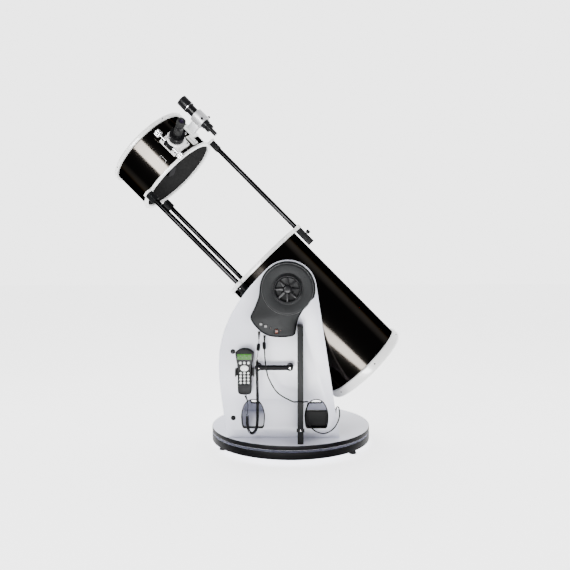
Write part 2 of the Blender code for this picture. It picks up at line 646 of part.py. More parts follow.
AZIMUTH_CABLE_ROUTE = [
    (-0.0960, -0.2420, 0.3995), (-0.0975, -0.2450, 0.3600), (-0.0925, -0.2690, 0.3000),
    (-0.0880, -0.2715, 0.2750), (-0.0800, -0.2705, 0.2400), (-0.0470, -0.2800, 0.1880),
    (0.0050, -0.3100, 0.1630), (0.0250, -0.3165, 0.1610), (0.0390, -0.3172, 0.1605),
    (0.0530, -0.3165, 0.1610), (0.0660, -0.3040, 0.1585), (0.0680, -0.2660, 0.1440),
    (0.0600, -0.2420, 0.0980), (0.0650, -0.2400, 0.0700), (0.0800, -0.2400, 0.0450),
    (0.1020, -0.2400, 0.0280), (0.1280, -0.2400, 0.0220), (0.1540, -0.2380, 0.0300),
    (0.1750, -0.2350, 0.0500), (0.1890, -0.2310, 0.0820), (0.1895, -0.2180, 0.1100),
    (0.1840, -0.1980, 0.1150), (0.1790, -0.1850, 0.1000), (0.1760, -0.1770, 0.0750),
    (0.1612, -0.1750, 0.0650),
]


def cords():
    """The handset's curly cord as one round tube over its curls, and the plain azimuth cable."""
    per_span = 2
    points = smooth_through(HANDSET_CORD_ROUTE, per_span)
    first, last = (index * per_span for index in HANDSET_COIL)
    curled = COIL_RADIUS / CABLE_RADIUS
    radii = [curled if first <= i <= last else 1.0 for i in range(len(points))]
    wire("handset_cord", points, CABLE_RADIUS, ROCKER, "black_rubber", radii)
    wire("azimuth_cable", smooth_through(AZIMUTH_CABLE_ROUTE, per_span), CABLE_RADIUS, ROCKER, "black_rubber")


# ---------------------------------------------------------------- lower tube
def lugged_ring(name, heights, kind, parent, opening):
    """A flat ring with three lugs that the truss rods pass or bolt to."""
    points = []
    half = math.degrees(math.asin(LUG_HALF_WIDTH / RING_RADIUS))
    steps = 19
    for middle, following in zip(LUG_ANGLES, LUG_ANGLES[1:] + (360,)):
        a = math.radians(middle)
        out = Vector((math.cos(a), math.sin(a)))
        side = Vector((-math.sin(a), math.cos(a)))
        tip = [(LUG_RADIUS - 0.008, -LUG_HALF_WIDTH), (LUG_RADIUS, -LUG_HALF_WIDTH + 0.008),
               (LUG_RADIUS, LUG_HALF_WIDTH - 0.008), (LUG_RADIUS - 0.008, LUG_HALF_WIDTH)]
        points += [tuple(out * r + side * w) for r, w in tip]
        points += arc((0, 0), RING_RADIUS, middle + half, following - half, steps)
    holes = [circle(opening, TUBE_STEPS)]
    for middle in LUG_ANGLES:
        a = math.radians(middle)
        centre = (ROD_CIRCLE * math.cos(a), ROD_CIRCLE * math.sin(a))
        holes.append(circle(ROD_RADIUS + GAP, 16, centre, a))
    low, high = heights
    ring = plate_curve(name, [points] + holes, high - low)
    return put(name, ring, parent, kind, (0, 0, (low + high) / 2))


def lower_tube():
    """Rolled steel tube with its bottom casting and its truss ring."""
    inner = TUBE_RADIUS - TUBE_WALL
    floor = BOTTOM_END + 0.006
    shell = tube_profile(TUBE_RADIUS, inner, floor + GAP, TRUSS_RING_Z[0] - GAP)
    turned("lower_tube", shell, TUBE, "black_gloss_paint", TUBE_STEPS, ring=True)
    bore = TUBE_RADIUS + GAP
    casting = [(RING_RADIUS - 0.003, BOTTOM_RING_TOP), (RING_RADIUS, BOTTOM_RING_TOP - 0.004),
               (RING_RADIUS, BOTTOM_END + 0.008), (RING_RADIUS - BOTTOM_CHAMFER, BOTTOM_END),
               (0.162, BOTTOM_END), (0.162, floor), (bore, floor), (bore, BOTTOM_RING_TOP)]
    turned("bottom_ring", casting, TUBE, "white_paint", TUBE_STEPS, ring=True)
    lugged_ring("truss_ring", TRUSS_RING_Z, "white_paint", TUBE, RING_BORE)


def rod_clamps():
    """A clamp box under the truss ring for each rod, with its thumbscrew."""
    top = TRUSS_RING_Z[0] - GAP
    for name, angle in ROD_ANGLES.items():
        place = around_tube(angle, ROD_CIRCLE, top - CLAMP_LENGTH / 2)
        turn = (0, 0, -math.radians(angle))
        block = [(-0.0135, -0.015), (0.0110, -0.015), (0.0145, -0.011), (0.0145, 0.011), (0.0110, 0.015),
                 (-0.0135, 0.015)]
        shape = plate_curve("clamp_box_" + name, [block, circle(ROD_RADIUS + GAP, 16)], CLAMP_LENGTH)
        box = solid_from_curve(put("clamp_box_" + name, shape, TUBE, "black_plastic", place, turn))
        across = (0, math.pi / 2, -math.radians(angle))
        seat = around_tube(angle, ROD_CIRCLE + ROD_RADIUS - 0.004, top - CLAMP_SCREW_DROP)
        hole = cylinder_mesh("screw_hole", 0.0033, 0, 0.020, 12)
        combine(box, cutter("screw_hole_" + name, hole, TUBE, seat, across))
        profile = [(0, 0.0245), (0.0080, 0.0245), (0.0090, 0.0225), (0.0090, 0.0125), (0.0030, 0.0105),
                   (0.0030, 0.0050), (0, 0.0050)]
        turned("clamp_knob_" + name, profile, TUBE, "black_plastic", 16, seat, across)


def primary_mirror():
    """Concave primary, its cell and the three collimation knobs behind it."""
    edge = MIRROR_Z + MIRROR_THICKNESS
    hollow = [(radius, edge - (MIRROR_RADIUS ** 2 - radius ** 2) / (4 * FOCAL_LENGTH))
              for radius in (0, 0.055, 0.105, MIRROR_RADIUS)]
    turned("primary_mirror", hollow + [(MIRROR_RADIUS, MIRROR_Z), (0, MIRROR_Z)], TUBE, "mirror", 36)
    windows = [arc((0, 0), 0.150, a - 42, a + 42, 12) + arc((0, 0), 0.055, a + 26, a - 26, 7)
               for a in (0, 120, 240)]
    screws = {}
    for name, angle in COLLIMATION_ANGLES.items():
        a = math.radians(angle)
        screws[name] = (COLLIMATION_CIRCLE * math.cos(a), COLLIMATION_CIRCLE * math.sin(a))
    rim = circle(TUBE_RADIUS - TUBE_WALL - TUBE_FIT, TUBE_STEPS)
    screw_holes = [circle(0.0045, 12, centre) for centre in screws.values()]
    cell = plate_curve("mirror_cell", [rim] + windows + screw_holes, 0.012)
    put("mirror_cell", cell, TUBE, "black_plastic", (0, 0, CELL_Z))
    knob = [(0, 0.048), (0.004, 0.048), (0.004, 0.020), (0.011, 0.018), (0.013, 0.014), (0.013, 0.002),
            (0.011, 0), (0, 0)]
    for name, centre in screws.items():
        turned(name, knob, TUBE, "black_plastic", 12, (*centre, COLLIMATION_Z))


def trunnions():
    """Side bearings that carry the tube, the worm wheel and the clutch knob on the near one."""
    saddle = cylinder_mesh("tube_saddle", TUBE_RADIUS + GAP, -0.12, 0.12, TUBE_STEPS)
    spans = {"near_trunnion": (NEAR_FACE, 0.264), "far_trunnion": (FAR_FACE, 0.236)}
    for name, (facing, end) in spans.items():
        face = PANEL_INNER - 0.0008
        profile = [(0, end), (SHAFT_RADIUS, end), (SHAFT_RADIUS, face), (TRUNNION_RADIUS - 0.002, face),
                   (TRUNNION_RADIUS, face - 0.002), (TRUNNION_RADIUS, 0.160), (0, 0.160)]
        boss = turned(name, profile, TUBE, "black_plastic", 32, rotation=facing)
        combine(boss, cutter(name + "_saddle", saddle, TUBE))
    wheel = tube_profile(0.058, SHAFT_RADIUS + GAP, 0.2215, 0.2315)
    turned("altitude_gear", wheel, TUBE, "brass", 32, rotation=NEAR_FACE, ring=True)
    front = PANEL_OUTER + GAP + HOUSING_DEPTH
    disc = [(0, front + 0.024), (0.018, front + 0.024), (0.022, front + 0.020), (0.022, front + 0.006),
            (0.044, front + 0.006), (0.044, front + 0.016), (0.050, front + 0.018), (0.054, front + 0.014),
            (0.054, front + 0.001), (0, front + 0.001)]
    knob = turned("altitude_clutch_knob", disc, TUBE, "black_plastic", 24, rotation=NEAR_FACE)
    bars = [(box_mesh("spoke", (0.036, 0.011, 0.012), (0.031, 0, front + 0.008)),
             Matrix.Rotation(math.radians(45 * i), 4, "Z")) for i in range(8)]
    combine(knob, cutter("spokes", joined_mesh("spokes", bars), TUBE, rotation=NEAR_FACE), "UNION")


# ---------------------------------------------------------------- upper cage
def cage():
    """Short upper tube between its two rings, on the three truss rods."""
    low = CAGE_LOWER_Z[1] + GAP
    high = CAGE_TOP_Z[0] - GAP
    shell = turned("cage_tube", tube_profile(TUBE_RADIUS, TUBE_RADIUS - TUBE_WALL, low, high), CAGE,
                   "black_gloss_paint", TUBE_STEPS, ring=True)
    light_hole = cylinder_mesh("light_hole", 0.027, 0.14, 0.21, 32)
    combine(shell, cutter("light_hole", light_hole, FOCUSER))
    lugged_ring("cage_lower_ring", CAGE_LOWER_Z, "white_paint", CAGE, RING_BORE)
    top = [(RING_RADIUS - TOP_CHAMFER, CAGE_TOP_Z[1]), (RING_RADIUS, CAGE_TOP_Z[1] - TOP_CHAMFER),
           (RING_RADIUS, CAGE_TOP_Z[0]), (0.168, CAGE_TOP_Z[0]), (0.168, CAGE_TOP_Z[1])]
    turned("cage_top_ring", top, CAGE, "white_paint", TUBE_STEPS, ring=True)
    block_top = CAGE_LOWER_Z[0] - GAP
    for name, angle in ROD_ANGLES.items():
        place = around_tube(angle, ROD_CIRCLE, 0)
        turn = (0, 0, -math.radians(angle))
        rod = cylinder_mesh("truss_rod_" + name, ROD_RADIUS, ROD_BOTTOM, CAGE_LOWER_Z[1], 16)
        obj = put("truss_rod_" + name, rod, CAGE, "black_rod", place, turn)
        block = box_mesh("rod_socket", (0.026, 0.026, 0.040), (0, 0, block_top - 0.020))
        combine(obj, cutter("rod_socket_" + name, block, CAGE, place, turn), "UNION")


def spider():
    """Four-vane spider whose hub holds the diagonal mirror."""
    reach = TUBE_RADIUS - TUBE_WALL - TUBE_FIT
    hub = cylinder_mesh("spider", 0.020, 0.772, 0.806, 24)
    obj = put("spider", hub, CAGE, "black_plastic")
    for name, angle in (("vane_a", 20), ("vane_b", 110)):
        vane = box_mesh(name, (2 * reach, 0.0015, 0.026), (0, 0, 0.790))
        combine(obj, cutter(name, vane, CAGE, rotation=(0, 0, math.radians(angle))), "UNION")
    place = (0, 0, FOCUSER_Z)
    tilt = (0, -math.pi / 4, -math.radians(FOCUSER_ANGLE))
    holder = cylinder_mesh("diagonal_holder", 0.030, 0.0075, 0.030, 24)
    combine(obj, cutter("diagonal_holder", holder, CAGE, place, tilt), "UNION")
    stalk = cylinder_mesh("diagonal_stalk", 0.009, FOCUSER_Z + 0.020, 0.780, 16)
    combine(obj, cutter("diagonal_stalk", stalk, CAGE), "UNION")
    ellipse = [(DIAGONAL_AXES[0] * x, DIAGONAL_AXES[1] * y) for x, y in circle(1.0, 32)]
    flat = plate_curve("secondary_mirror", [ellipse], 0.008)
    put("secondary_mirror", flat, CAGE, "mirror", place, tilt)


def focuser():
    """Rack-and-pinion focuser: base casting, drawtube, eyepiece and the focus shaft with two knobs."""
    block = box_mesh("focuser_base", (FOCUSER_BASE, FOCUSER_BASE, 0.040), (0, 0, 0.170))
    base = put("focuser_base", block, FOCUSER, "white_paint")
    collar = cylinder_mesh("focuser_collar", 0.037, 0.186, 0.215, 32)
    combine(base, cutter("focuser_collar", collar, FOCUSER), "UNION")
    bridge = box_mesh("pinion_bridge", (0.040, 0.018, 0.026), (0, FOCUS_SHAFT_SIDE, 0.196))
    combine(base, cutter("pinion_bridge", bridge, FOCUSER), "UNION")
    saddle = cylinder_mesh("focuser_saddle", TUBE_RADIUS + GAP, -0.1, 0.1, TUBE_STEPS)
    combine(base, cutter("focuser_saddle", saddle, CAGE, (0, 0, FOCUSER_Z)))
    bore = cylinder_mesh("drawtube_bore", DRAWTUBE_BORE, 0.140, 0.230, 32)
    combine(base, cutter("drawtube_bore", bore, FOCUSER))
    shaft_place = (0, FOCUS_SHAFT_SIDE, FOCUS_SHAFT_OUT)
    along = (0, math.pi / 2, 0)
    bore = cylinder_mesh("shaft_bore", 0.0033, -0.03, 0.03, 12)
    combine(base, cutter("shaft_bore", bore, FOCUSER, shaft_place, along))
    shaft = [(0, 0.072), (0.012, 0.072), (0.014, 0.070), (0.014, 0.050), (0.003, 0.048), (0.003, -0.048),
             (0.014, -0.050), (0.014, -0.070), (0.012, -0.072), (0, -0.072)]
    turned("focus_shaft", shaft, FOCUSER, "steel", 20, shaft_place, along)
    drawtube = [(0.030, 0.243), (0.030, 0.2155), (0.025, 0.2155), (0.025, 0.158), (0.0225, 0.158),
                (0.0225, 0.226), (0.0162, 0.226), (0.0162, 0.243)]
    turned("drawtube", drawtube, FOCUSER, "black_plastic", 24, ring=True)
    eyepiece = [(0, 0.334), (0.010, 0.337), (0.0165, 0.335), (0.0170, 0.312), (0.0152, 0.306),
                (0.0165, 0.252), (0.0165, 0.2433), (0.0158, 0.2433), (0.0158, 0.222), (0, 0.222)]
    turned("eyepiece", eyepiece, FOCUSER, "black_plastic", 20)


def finder():
    """Straight finder in its bracket beside the focuser."""
    place = around_tube(FINDER_ANGLE, FINDER_CIRCLE, FINDER_Z)
    turn = (0, 0, -math.radians(FINDER_ANGLE))
    body = [(0, 0.101), (0.020, 0.101), (0.020, 0.106), (0.0225, 0.106), (0.0225, 0.059), (0.019, 0.055),
            (0.019, -0.037), (0.015, -0.041), (0.0165, -0.045), (0.0165, -0.059), (0.0085, -0.061),
            (0.0085, -0.090), (0, -0.090)]
    turned("finder_scope", body, CAGE, "black_plastic", 20, place)
    clamp = tube_profile(0.0275, 0.0195, -0.025, 0.025)
    ring = turned("finder_bracket", clamp, CAGE, "white_paint", 20, place, ring=True)
    stalk = box_mesh("finder_stalk", (0.060, 0.026, 0.036), (-0.054, 0, 0))
    combine(ring, cutter("finder_stalk", stalk, CAGE, place, turn), "UNION")
    foot = box_mesh("finder_foot", (0.016, 0.044, 0.062), (-0.070, 0, 0))
    combine(ring, cutter("finder_foot", foot, CAGE, place, turn), "UNION")
    saddle = cylinder_mesh("finder_saddle", TUBE_RADIUS + GAP, 0.66, 0.82, TUBE_STEPS)
    combine(ring, cutter("finder_saddle", saddle, CAGE))


ground_board()
rocker_boards()
side_brace()
carry_handle()
altitude_drive()
far_bearing()
azimuth_drive()
handset()
handset_holder()
cords()
lower_tube()
rod_clamps()
primary_mirror()
trunnions()
cage()
spider()
focuser()
finder()
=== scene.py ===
"""Looks of the truss-rod Dobsonian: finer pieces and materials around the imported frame, in metres."""

import json
import math

import bmesh
import bpy
from mathutils import Matrix, Vector


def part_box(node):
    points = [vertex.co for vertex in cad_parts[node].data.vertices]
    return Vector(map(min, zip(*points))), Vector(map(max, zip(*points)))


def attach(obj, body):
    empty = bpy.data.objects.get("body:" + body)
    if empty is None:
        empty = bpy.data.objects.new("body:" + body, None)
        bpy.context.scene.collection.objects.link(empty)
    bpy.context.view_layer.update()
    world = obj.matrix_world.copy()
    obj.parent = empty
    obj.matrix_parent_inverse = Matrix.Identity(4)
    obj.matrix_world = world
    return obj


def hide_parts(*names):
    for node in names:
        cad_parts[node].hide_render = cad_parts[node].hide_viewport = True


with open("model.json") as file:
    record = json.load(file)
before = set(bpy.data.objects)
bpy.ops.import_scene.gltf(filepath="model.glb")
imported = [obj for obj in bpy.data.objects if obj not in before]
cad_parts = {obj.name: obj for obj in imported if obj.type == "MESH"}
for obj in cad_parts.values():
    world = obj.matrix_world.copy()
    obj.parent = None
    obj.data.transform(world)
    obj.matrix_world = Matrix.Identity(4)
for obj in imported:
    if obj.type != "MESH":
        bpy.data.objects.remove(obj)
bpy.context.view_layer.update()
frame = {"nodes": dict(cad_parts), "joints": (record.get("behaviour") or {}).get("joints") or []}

# ---- frames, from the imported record
JOINTS = {joint["name"]: joint for joint in frame["joints"]}
ALTITUDE = Vector(JOINTS["altitude_tilt"]["pos_m"])
AZIMUTH_X = JOINTS["azimuth_turn"]["pos_m"][0]
BOARD_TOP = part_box("rocker_board")[1].z
SKY = -Vector(JOINTS["truss_collapse"]["axis"])
UP_SIDE = Vector(JOINTS["clamp_turn_top"]["axis"])
OUTWARD = Vector(JOINTS["focus_travel"]["axis"])
FOCUSER_Z = 0.717  # along the tube from the altitude axis


def frame_matrix(x_axis, y_axis, z_axis, origin):
    """Matrix with the given axes as its columns."""
    return Matrix([[*x_axis, 0], [*y_axis, 0], [*z_axis, 0], [*origin, 1]]).transposed()


WORLD = Matrix.Identity(4)
ROCKER = Matrix.Translation((AZIMUTH_X, 0, BOARD_TOP))
TUBE = frame_matrix(UP_SIDE, Vector((0, 1, 0)), SKY, ALTITUDE)
FOCUSER = frame_matrix(-SKY, OUTWARD.cross(-SKY), OUTWARD, ALTITUDE + SKY * FOCUSER_Z)
PANEL_FACE, PANEL_INNER = 0.219, 0.201  # the side panels' outer and inner faces, from the centre plane
GAP = 0.0003  # the CAD's clearance between neighbours


def facing_near(x, y, z):
    """Frame at a world point: X right, Y up, Z to the near side."""
    return frame_matrix((1, 0, 0), (0, 0, 1), (0, -1, 0), (x, y, z))


def facing_far(x, y, z):
    """Frame at a world point: X left, Y up, Z to the far side."""
    return frame_matrix((-1, 0, 0), (0, 0, 1), (0, 1, 0), (x, y, z))


def around(angle, radius, z=0.0):
    """Place round the tube, at an angle from its upper side to the near side, X outward."""
    turn = Matrix.Rotation(-math.radians(angle), 4, "Z")
    return TUBE @ turn @ Matrix.Translation((radius, 0, z))


# ---- materials
def linked(name, data):
    """New object in the scene."""
    obj = bpy.data.objects.new(name, data)
    bpy.context.scene.collection.objects.link(obj)
    return obj


def link(tree, a, a_socket, b, b_socket):
    """Join two node sockets."""
    tree.links.new(a.outputs[a_socket], b.inputs[b_socket])


def noise_of(tree, coords, scale, detail=3.0, stretch=(1, 1, 1)):
    """A noise texture over the object's own coordinates."""
    mapping = tree.nodes.new("ShaderNodeMapping")
    mapping.inputs["Scale"].default_value = stretch
    texture = tree.nodes.new("ShaderNodeTexNoise")
    texture.inputs["Scale"].default_value = scale
    texture.inputs["Detail"].default_value = detail
    link(tree, coords, "Object", mapping, "Vector")
    link(tree, mapping, "Vector", texture, "Vector")
    return texture


def ramp_of(tree, low, high, start=0.3, end=0.7):
    """A colour ramp between two colours."""
    ramp = tree.nodes.new("ShaderNodeValToRGB")
    ramp.color_ramp.elements[0].position = start
    ramp.color_ramp.elements[0].color = (*low, 1.0)
    ramp.color_ramp.elements[1].position = end
    ramp.color_ramp.elements[1].color = (*high, 1.0)
    return ramp


def material(name, low, high, rough, spread=0.06, scale=9.0, metallic=0.0, bump=0.08, grain=900.0,
             bump_depth=0.0004, coat=0.0, coat_rough=0.05, stretch=(1, 1, 1), specular=0.5, tint=1.0,
             emission=None, glow=1.0):
    """Procedural surface: colour and roughness drift slowly, and a bump carries the grain."""
    made = bpy.data.materials.new(name)
    made.use_nodes = True
    tree = made.node_tree
    shader = tree.nodes["Principled BSDF"]
    coords = tree.nodes.new("ShaderNodeTexCoord")
    drift = noise_of(tree, coords, scale, 4.0, stretch)
    ramp = ramp_of(tree, low, high)
    link(tree, drift, "Fac", ramp, "Fac")
    link(tree, ramp, "Color", shader, "Base Color")
    wear = noise_of(tree, coords, scale * 4.3, 5.0, stretch)
    span = tree.nodes.new("ShaderNodeMapRange")
    span.inputs["To Min"].default_value = max(0.01, rough - spread)
    span.inputs["To Max"].default_value = rough + spread
    link(tree, wear, "Fac", span, "Value")
    link(tree, span, "Result", shader, "Roughness")
    fine = noise_of(tree, coords, grain, 2.0, stretch)
    raised = tree.nodes.new("ShaderNodeBump")
    raised.inputs["Strength"].default_value = bump
    raised.inputs["Distance"].default_value = bump_depth
    link(tree, fine, "Fac", raised, "Height")
    link(tree, raised, "Normal", shader, "Normal")
    shader.inputs["Metallic"].default_value = metallic
    shader.inputs["Coat Weight"].default_value = coat
    shader.inputs["Coat Roughness"].default_value = coat_rough
    shader.inputs["Specular IOR Level"].default_value = specular
    shader.inputs["Specular Tint"].default_value = (tint, tint, tint, 1.0)
    if emission:
        shader.inputs["Emission Color"].default_value = (*emission, 1.0)
        shader.inputs["Emission Strength"].default_value = glow
    return made


M = {
    "laminate": material("white_laminate", (0.66, 0.67, 0.77), (0.71, 0.72, 0.82), 0.32, bump=0.1, grain=520,
                         scale=6),
    "edging": material("black_edge_band", (0.002, 0.002, 0.0025), (0.005, 0.005, 0.006), 0.45, bump=0.12, grain=340,
                       stretch=(1, 1, 6), specular=0.08),
    "black_board": material("black_board", (0.004, 0.0045, 0.005), (0.008, 0.0085, 0.009), 0.45, bump=0.16,
                            grain=260, stretch=(5, 5, 1), specular=0.05),
    "enamel": material("white_enamel", (0.8, 0.8, 0.79), (0.88, 0.88, 0.87), 0.3, bump=0.14, grain=420, coat=0.4,
                       coat_rough=0.12),
    "gloss": material("gloss_black_enamel", (0.02, 0.018, 0.016), (0.027, 0.024, 0.021), 0.13, spread=0.02,
                      metallic=1, bump=0, scale=5, tint=0.02),
    "baffle": material("matte_inside", (0.006, 0.006, 0.006), (0.012, 0.012, 0.012), 0.85, bump=0.35, grain=700,
                       specular=0.15),
    "rod": material("black_anodised", (0.007, 0.007, 0.0075), (0.01, 0.01, 0.0105), 0.3, spread=0.02, bump=0,
                    metallic=1, tint=0.02),
    "silver": material("silver_casting", (0.4, 0.4, 0.41), (0.5, 0.5, 0.51), 0.42, metallic=0.3, bump=0.1),
    "plastic": material("black_plastic", (0.003, 0.0033, 0.0038), (0.006, 0.0064, 0.007), 0.4, bump=0.18,
                        grain=1300, specular=0.05),
    "charcoal": material("charcoal_plastic", (0.0045, 0.0052, 0.0058), (0.0075, 0.0084, 0.0092), 0.44, bump=0.3,
                         grain=1100, specular=0.045),
    "satin": material("satin_black", (0.005, 0.005, 0.0055), (0.01, 0.01, 0.011), 0.26, bump=0.06, grain=800,
                      specular=0.07),
    "rubber": material("black_rubber", (0.006, 0.006, 0.006), (0.011, 0.011, 0.011), 0.7, bump=0.3, grain=1500,
                       specular=0.12),
    "cord": material("cord_rubber", (0.0015, 0.0015, 0.0018), (0.0035, 0.0035, 0.0038), 0.45, bump=0.12, grain=1800,
                     specular=0.1),
    "steel": material("turned_steel", (0.5, 0.5, 0.51), (0.68, 0.68, 0.69), 0.26, metallic=1, bump=0.12, grain=380,
                      stretch=(1, 1, 9)),
    "brass": material("machined_brass", (0.6, 0.43, 0.18), (0.75, 0.56, 0.26), 0.28, metallic=1, bump=0.1),
    "mirror": material("aluminised_glass", (0.88, 0.9, 0.91), (0.93, 0.94, 0.95), 0.03, spread=0.012, metallic=1,
                       bump=0, scale=3),
    # painted dark reflection: the diagonal is an aluminised mirror, coloured near black for the dark it shows
    "diagonal": material("diagonal_mirror_painted_dark", (0.06, 0.06, 0.062), (0.08, 0.08, 0.082), 0.05, spread=0.012, metallic=1,
                         bump=0, scale=3),
    "glass": material("coated_glass", (0.01, 0.006, 0.02), (0.022, 0.012, 0.034), 0.05, spread=0.02, bump=0, coat=1,
                      coat_rough=0.01, scale=20),
    "key": material("silicone_key", (0.7, 0.74, 0.7), (0.84, 0.87, 0.83), 0.5, bump=0.2, grain=1600, scale=60),
    "mark": material("key_mark", (0.015, 0.016, 0.016), (0.03, 0.03, 0.03), 0.5, scale=200),
    "screen": material("display_green", (0.018, 0.1, 0.006), (0.04, 0.17, 0.01), 0.35, scale=90, stretch=(1, 1, 7),
                       bump=0, specular=0.05),
    "red": material("red_lens", (0.1, 0.022, 0.01), (0.17, 0.035, 0.016), 0.35, bump=0.05, scale=120, specular=0.3),
    "floor": material("studio_floor", (0.9, 0.9, 0.9), (0.93, 0.93, 0.93), 0.85, scale=0.7, bump=0.02, grain=60,
                      specular=0, emission=(1, 1, 1), glow=2.2),
}


# ---- shapes
def finished(bm):
    """Mesh of a bmesh, with its faces turned outward."""
    bmesh.ops.recalc_face_normals(bm, faces=bm.faces)
    mesh = bpy.data.meshes.new("shape")
    bm.to_mesh(mesh)
    bm.free()
    return mesh


ON_AXIS = 1e-7  # a radius under this is a point


def mm(*points):
    """Flat points given in millimetres."""
    return [(x / 1000, y / 1000) for x, y in points]


def filleted(points, radius, closed=False, steps=3):
    """A flat line with its corners rounded, less where a side is short."""
    result = []
    count = len(points)
    for i, point in enumerate(points):
        if not closed and i in (0, count - 1):
            result.append(tuple(point))
            continue
        here = Vector(point)
        before = Vector(points[i - 1]) - here
        after = Vector(points[(i + 1) % count]) - here
        reach = min(radius, before.length * 0.45, after.length * 0.45)
        a = here + before.normalized() * reach
        b = here + after.normalized() * reach
        for j in range(steps + 1):
            t = j / steps
            result.append(tuple(a * (1 - t) ** 2 + here * 2 * t * (1 - t) + b * t * t))
    return result


def rectangle(width, height, x=0, y=0):
    """Corners of a rectangle about a middle, in millimetres."""
    w, h = width / 2, height / 2
    return mm((x - w, y - h), (x + w, y - h), (x + w, y + h), (x - w, y + h))


def rounded(width, height, radius, x=0, y=0):
    """Rectangle with rounded corners, in millimetres."""
    return filleted(rectangle(width, height, x, y), radius / 1000, True)


def bridge(bm, a, b, closed=True):
    """Faces between two equally long rows of vertices."""
    for i in range(len(a) if closed else len(a) - 1):
        j = (i + 1) % len(a)
        bm.faces.new((a[i], a[j], b[j], b[i]))


def lathe(profile, steps=64, round_by=0.0, closed=False, ribs=(0, 0.0, 0.0)):
    """A (radius, height) profile turned about Z; ribs are a count, a depth and the radius they start over."""
    if round_by:
        profile = filleted(profile, round_by, closed)
    count, depth, above = ribs
    bm = bmesh.new()
    rings = []
    for radius, height in profile:
        if radius < ON_AXIS:
            rings.append([bm.verts.new((0, 0, height))])
            continue
        ring = []
        for i in range(steps):
            angle = 2 * math.pi * i / steps
            r = radius
            if count and radius > above:
                r -= depth * (0.5 + 0.5 * math.cos(angle * count)) ** 2
            ring.append(bm.verts.new((r * math.cos(angle), r * math.sin(angle), height)))
        rings.append(ring)
    pairs = list(zip(rings, rings[1:]))
    if closed:
        pairs.append((rings[-1], rings[0]))
    for a, b in pairs:
        if len(a) == len(b) > 1:
            bridge(bm, a, b)
        elif len(a) != len(b):
            for i in range(steps):
                j = (i + 1) % steps
                bm.faces.new((a[0], b[i], b[j]) if len(a) == 1 else (a[i], a[j], b[0]))
    return finished(bm)


def ring_profile(outer, inner, low, high):
    """The closed profile of a plain ring."""
    return [(outer, high), (outer, low), (inner, low), (inner, high)]


def spot(radius, angle, centre=(0, 0)):
    """Flat point at an angle in degrees."""
    a = math.radians(angle)
    return centre[0] + radius * math.cos(a), centre[1] + radius * math.sin(a)


def circle(radius, count=48, centre=(0, 0)):
    """Points of a circle."""
    return [spot(radius, 360 * i / count, centre) for i in range(count)]


def arc(centre, radius, start, end, count):
    """Points of an arc between two angles in degrees, both ends included."""
    return [spot(radius, start + (end - start) * i / (count - 1), centre) for i in range(count)]


def bezier(start, handle_a, handle_b, end, count):
    """Points of a cubic curve, without its first point."""
    points = []
    for i in range(1, count + 1):
        t = i / count
        s = 1 - t
        weights = (s ** 3, 3 * s * s * t, 3 * s * t * t, t ** 3)
        corners = (start, handle_a, handle_b, end)
        points.append(tuple(sum(w * p[k] for w, p in zip(weights, corners)) for k in range(2)))
    return points


def smooth_through(points, per_span):
    """Points of a smooth open curve that passes through every given point."""
    places = [Vector(p) for p in points]
    places = [2 * places[0] - places[1]] + places + [2 * places[-1] - places[-2]]
    result = []
    for i in range(1, len(places) - 2):
        a, b, c, d = places[i - 1:i + 3]
        for j in range(per_span):
            t = j / per_span
            bend = (2 * a - 5 * b + 4 * c - d) * t * t + (3 * b - a - 3 * c + d) * t ** 3
            result.append(0.5 * (2 * b + (c - a) * t + bend))
    result.append(places[-2])
    return result


def from_curve(curve):
    """Mesh of a curve, welded, with the curve itself thrown away."""
    holder = linked("outline", curve)
    bpy.context.view_layer.update()
    evaluated = holder.evaluated_get(bpy.context.evaluated_depsgraph_get())
    mesh = bpy.data.meshes.new_from_object(evaluated)
    mesh.materials.clear()
    bpy.data.objects.remove(holder, do_unlink=True)
    bm = bmesh.new()
    bm.from_mesh(mesh)
    bmesh.ops.remove_doubles(bm, verts=bm.verts, dist=0.000005)
    bpy.data.meshes.remove(mesh)
    return finished(bm)


def fill_spline(curve, points, closed):
    """One line of straight spans in a curve."""
    spline = curve.splines.new("POLY")
    spline.points.add(len(points) - 1)
    for point, place in zip(spline.points, points):
        point.co = (*place, 1)
    spline.use_smooth = True
    spline.use_cyclic_u = closed


def round_line(name, points, radius, closed=False):
    """A curve with a round section along the points."""
    curve = bpy.data.curves.new(name, "CURVE")
    curve.dimensions = "3D"
    curve.bevel_depth = radius
    curve.bevel_resolution = 2
    curve.use_fill_caps = not closed
    fill_spline(curve, points, closed)
    return curve


def plate(outlines, thickness, edge=0.001, edge_steps=2):
    """A flat plate about z = 0 with rounded edges; outlines after the first are holes."""
    curve = bpy.data.curves.new("plate", "CURVE")
    curve.dimensions = "2D"
    curve.fill_mode = "BOTH"
    curve.extrude = thickness / 2 - edge
    curve.bevel_depth = edge
    curve.bevel_resolution = edge_steps
    curve.offset = -edge
    for outline in outlines:
        fill_spline(curve, [(x, y, 0) for x, y in outline], True)
    return from_curve(curve)


def block(size, edge=0.001, segments=2):
    """A box about the origin with rounded edges."""
    bm = bmesh.new()
    bmesh.ops.create_cube(bm, size=1.0)
    bmesh.ops.scale(bm, vec=size, verts=bm.verts)
    bmesh.ops.bevel(bm, geom=bm.edges, offset=edge, segments=segments, affect="EDGES", profile=0.6)
    return finished(bm)


def screw_head(radius, height):
    """Round cap with a socket in it."""
    profile = [(0, height * 0.35), (radius * 0.48, height * 0.35), (radius * 0.52, height), (radius * 0.82, height),
               (radius, height * 0.62), (radius, 0)]
    return lathe(profile, 24, radius * 0.12)


def turned_by(angle, axis="Z"):
    """Rotation by degrees."""
    return Matrix.Rotation(math.radians(angle), 4, axis)


def up(z):
    """Translation along Z."""
    return at(0, 0, z)


SIDEWAYS = turned_by(90, "Y")    # lays the Z axis along X


def at(x=0.0, y=0.0, z=0.0):
    """Translation."""
    return Matrix.Translation((x, y, z))


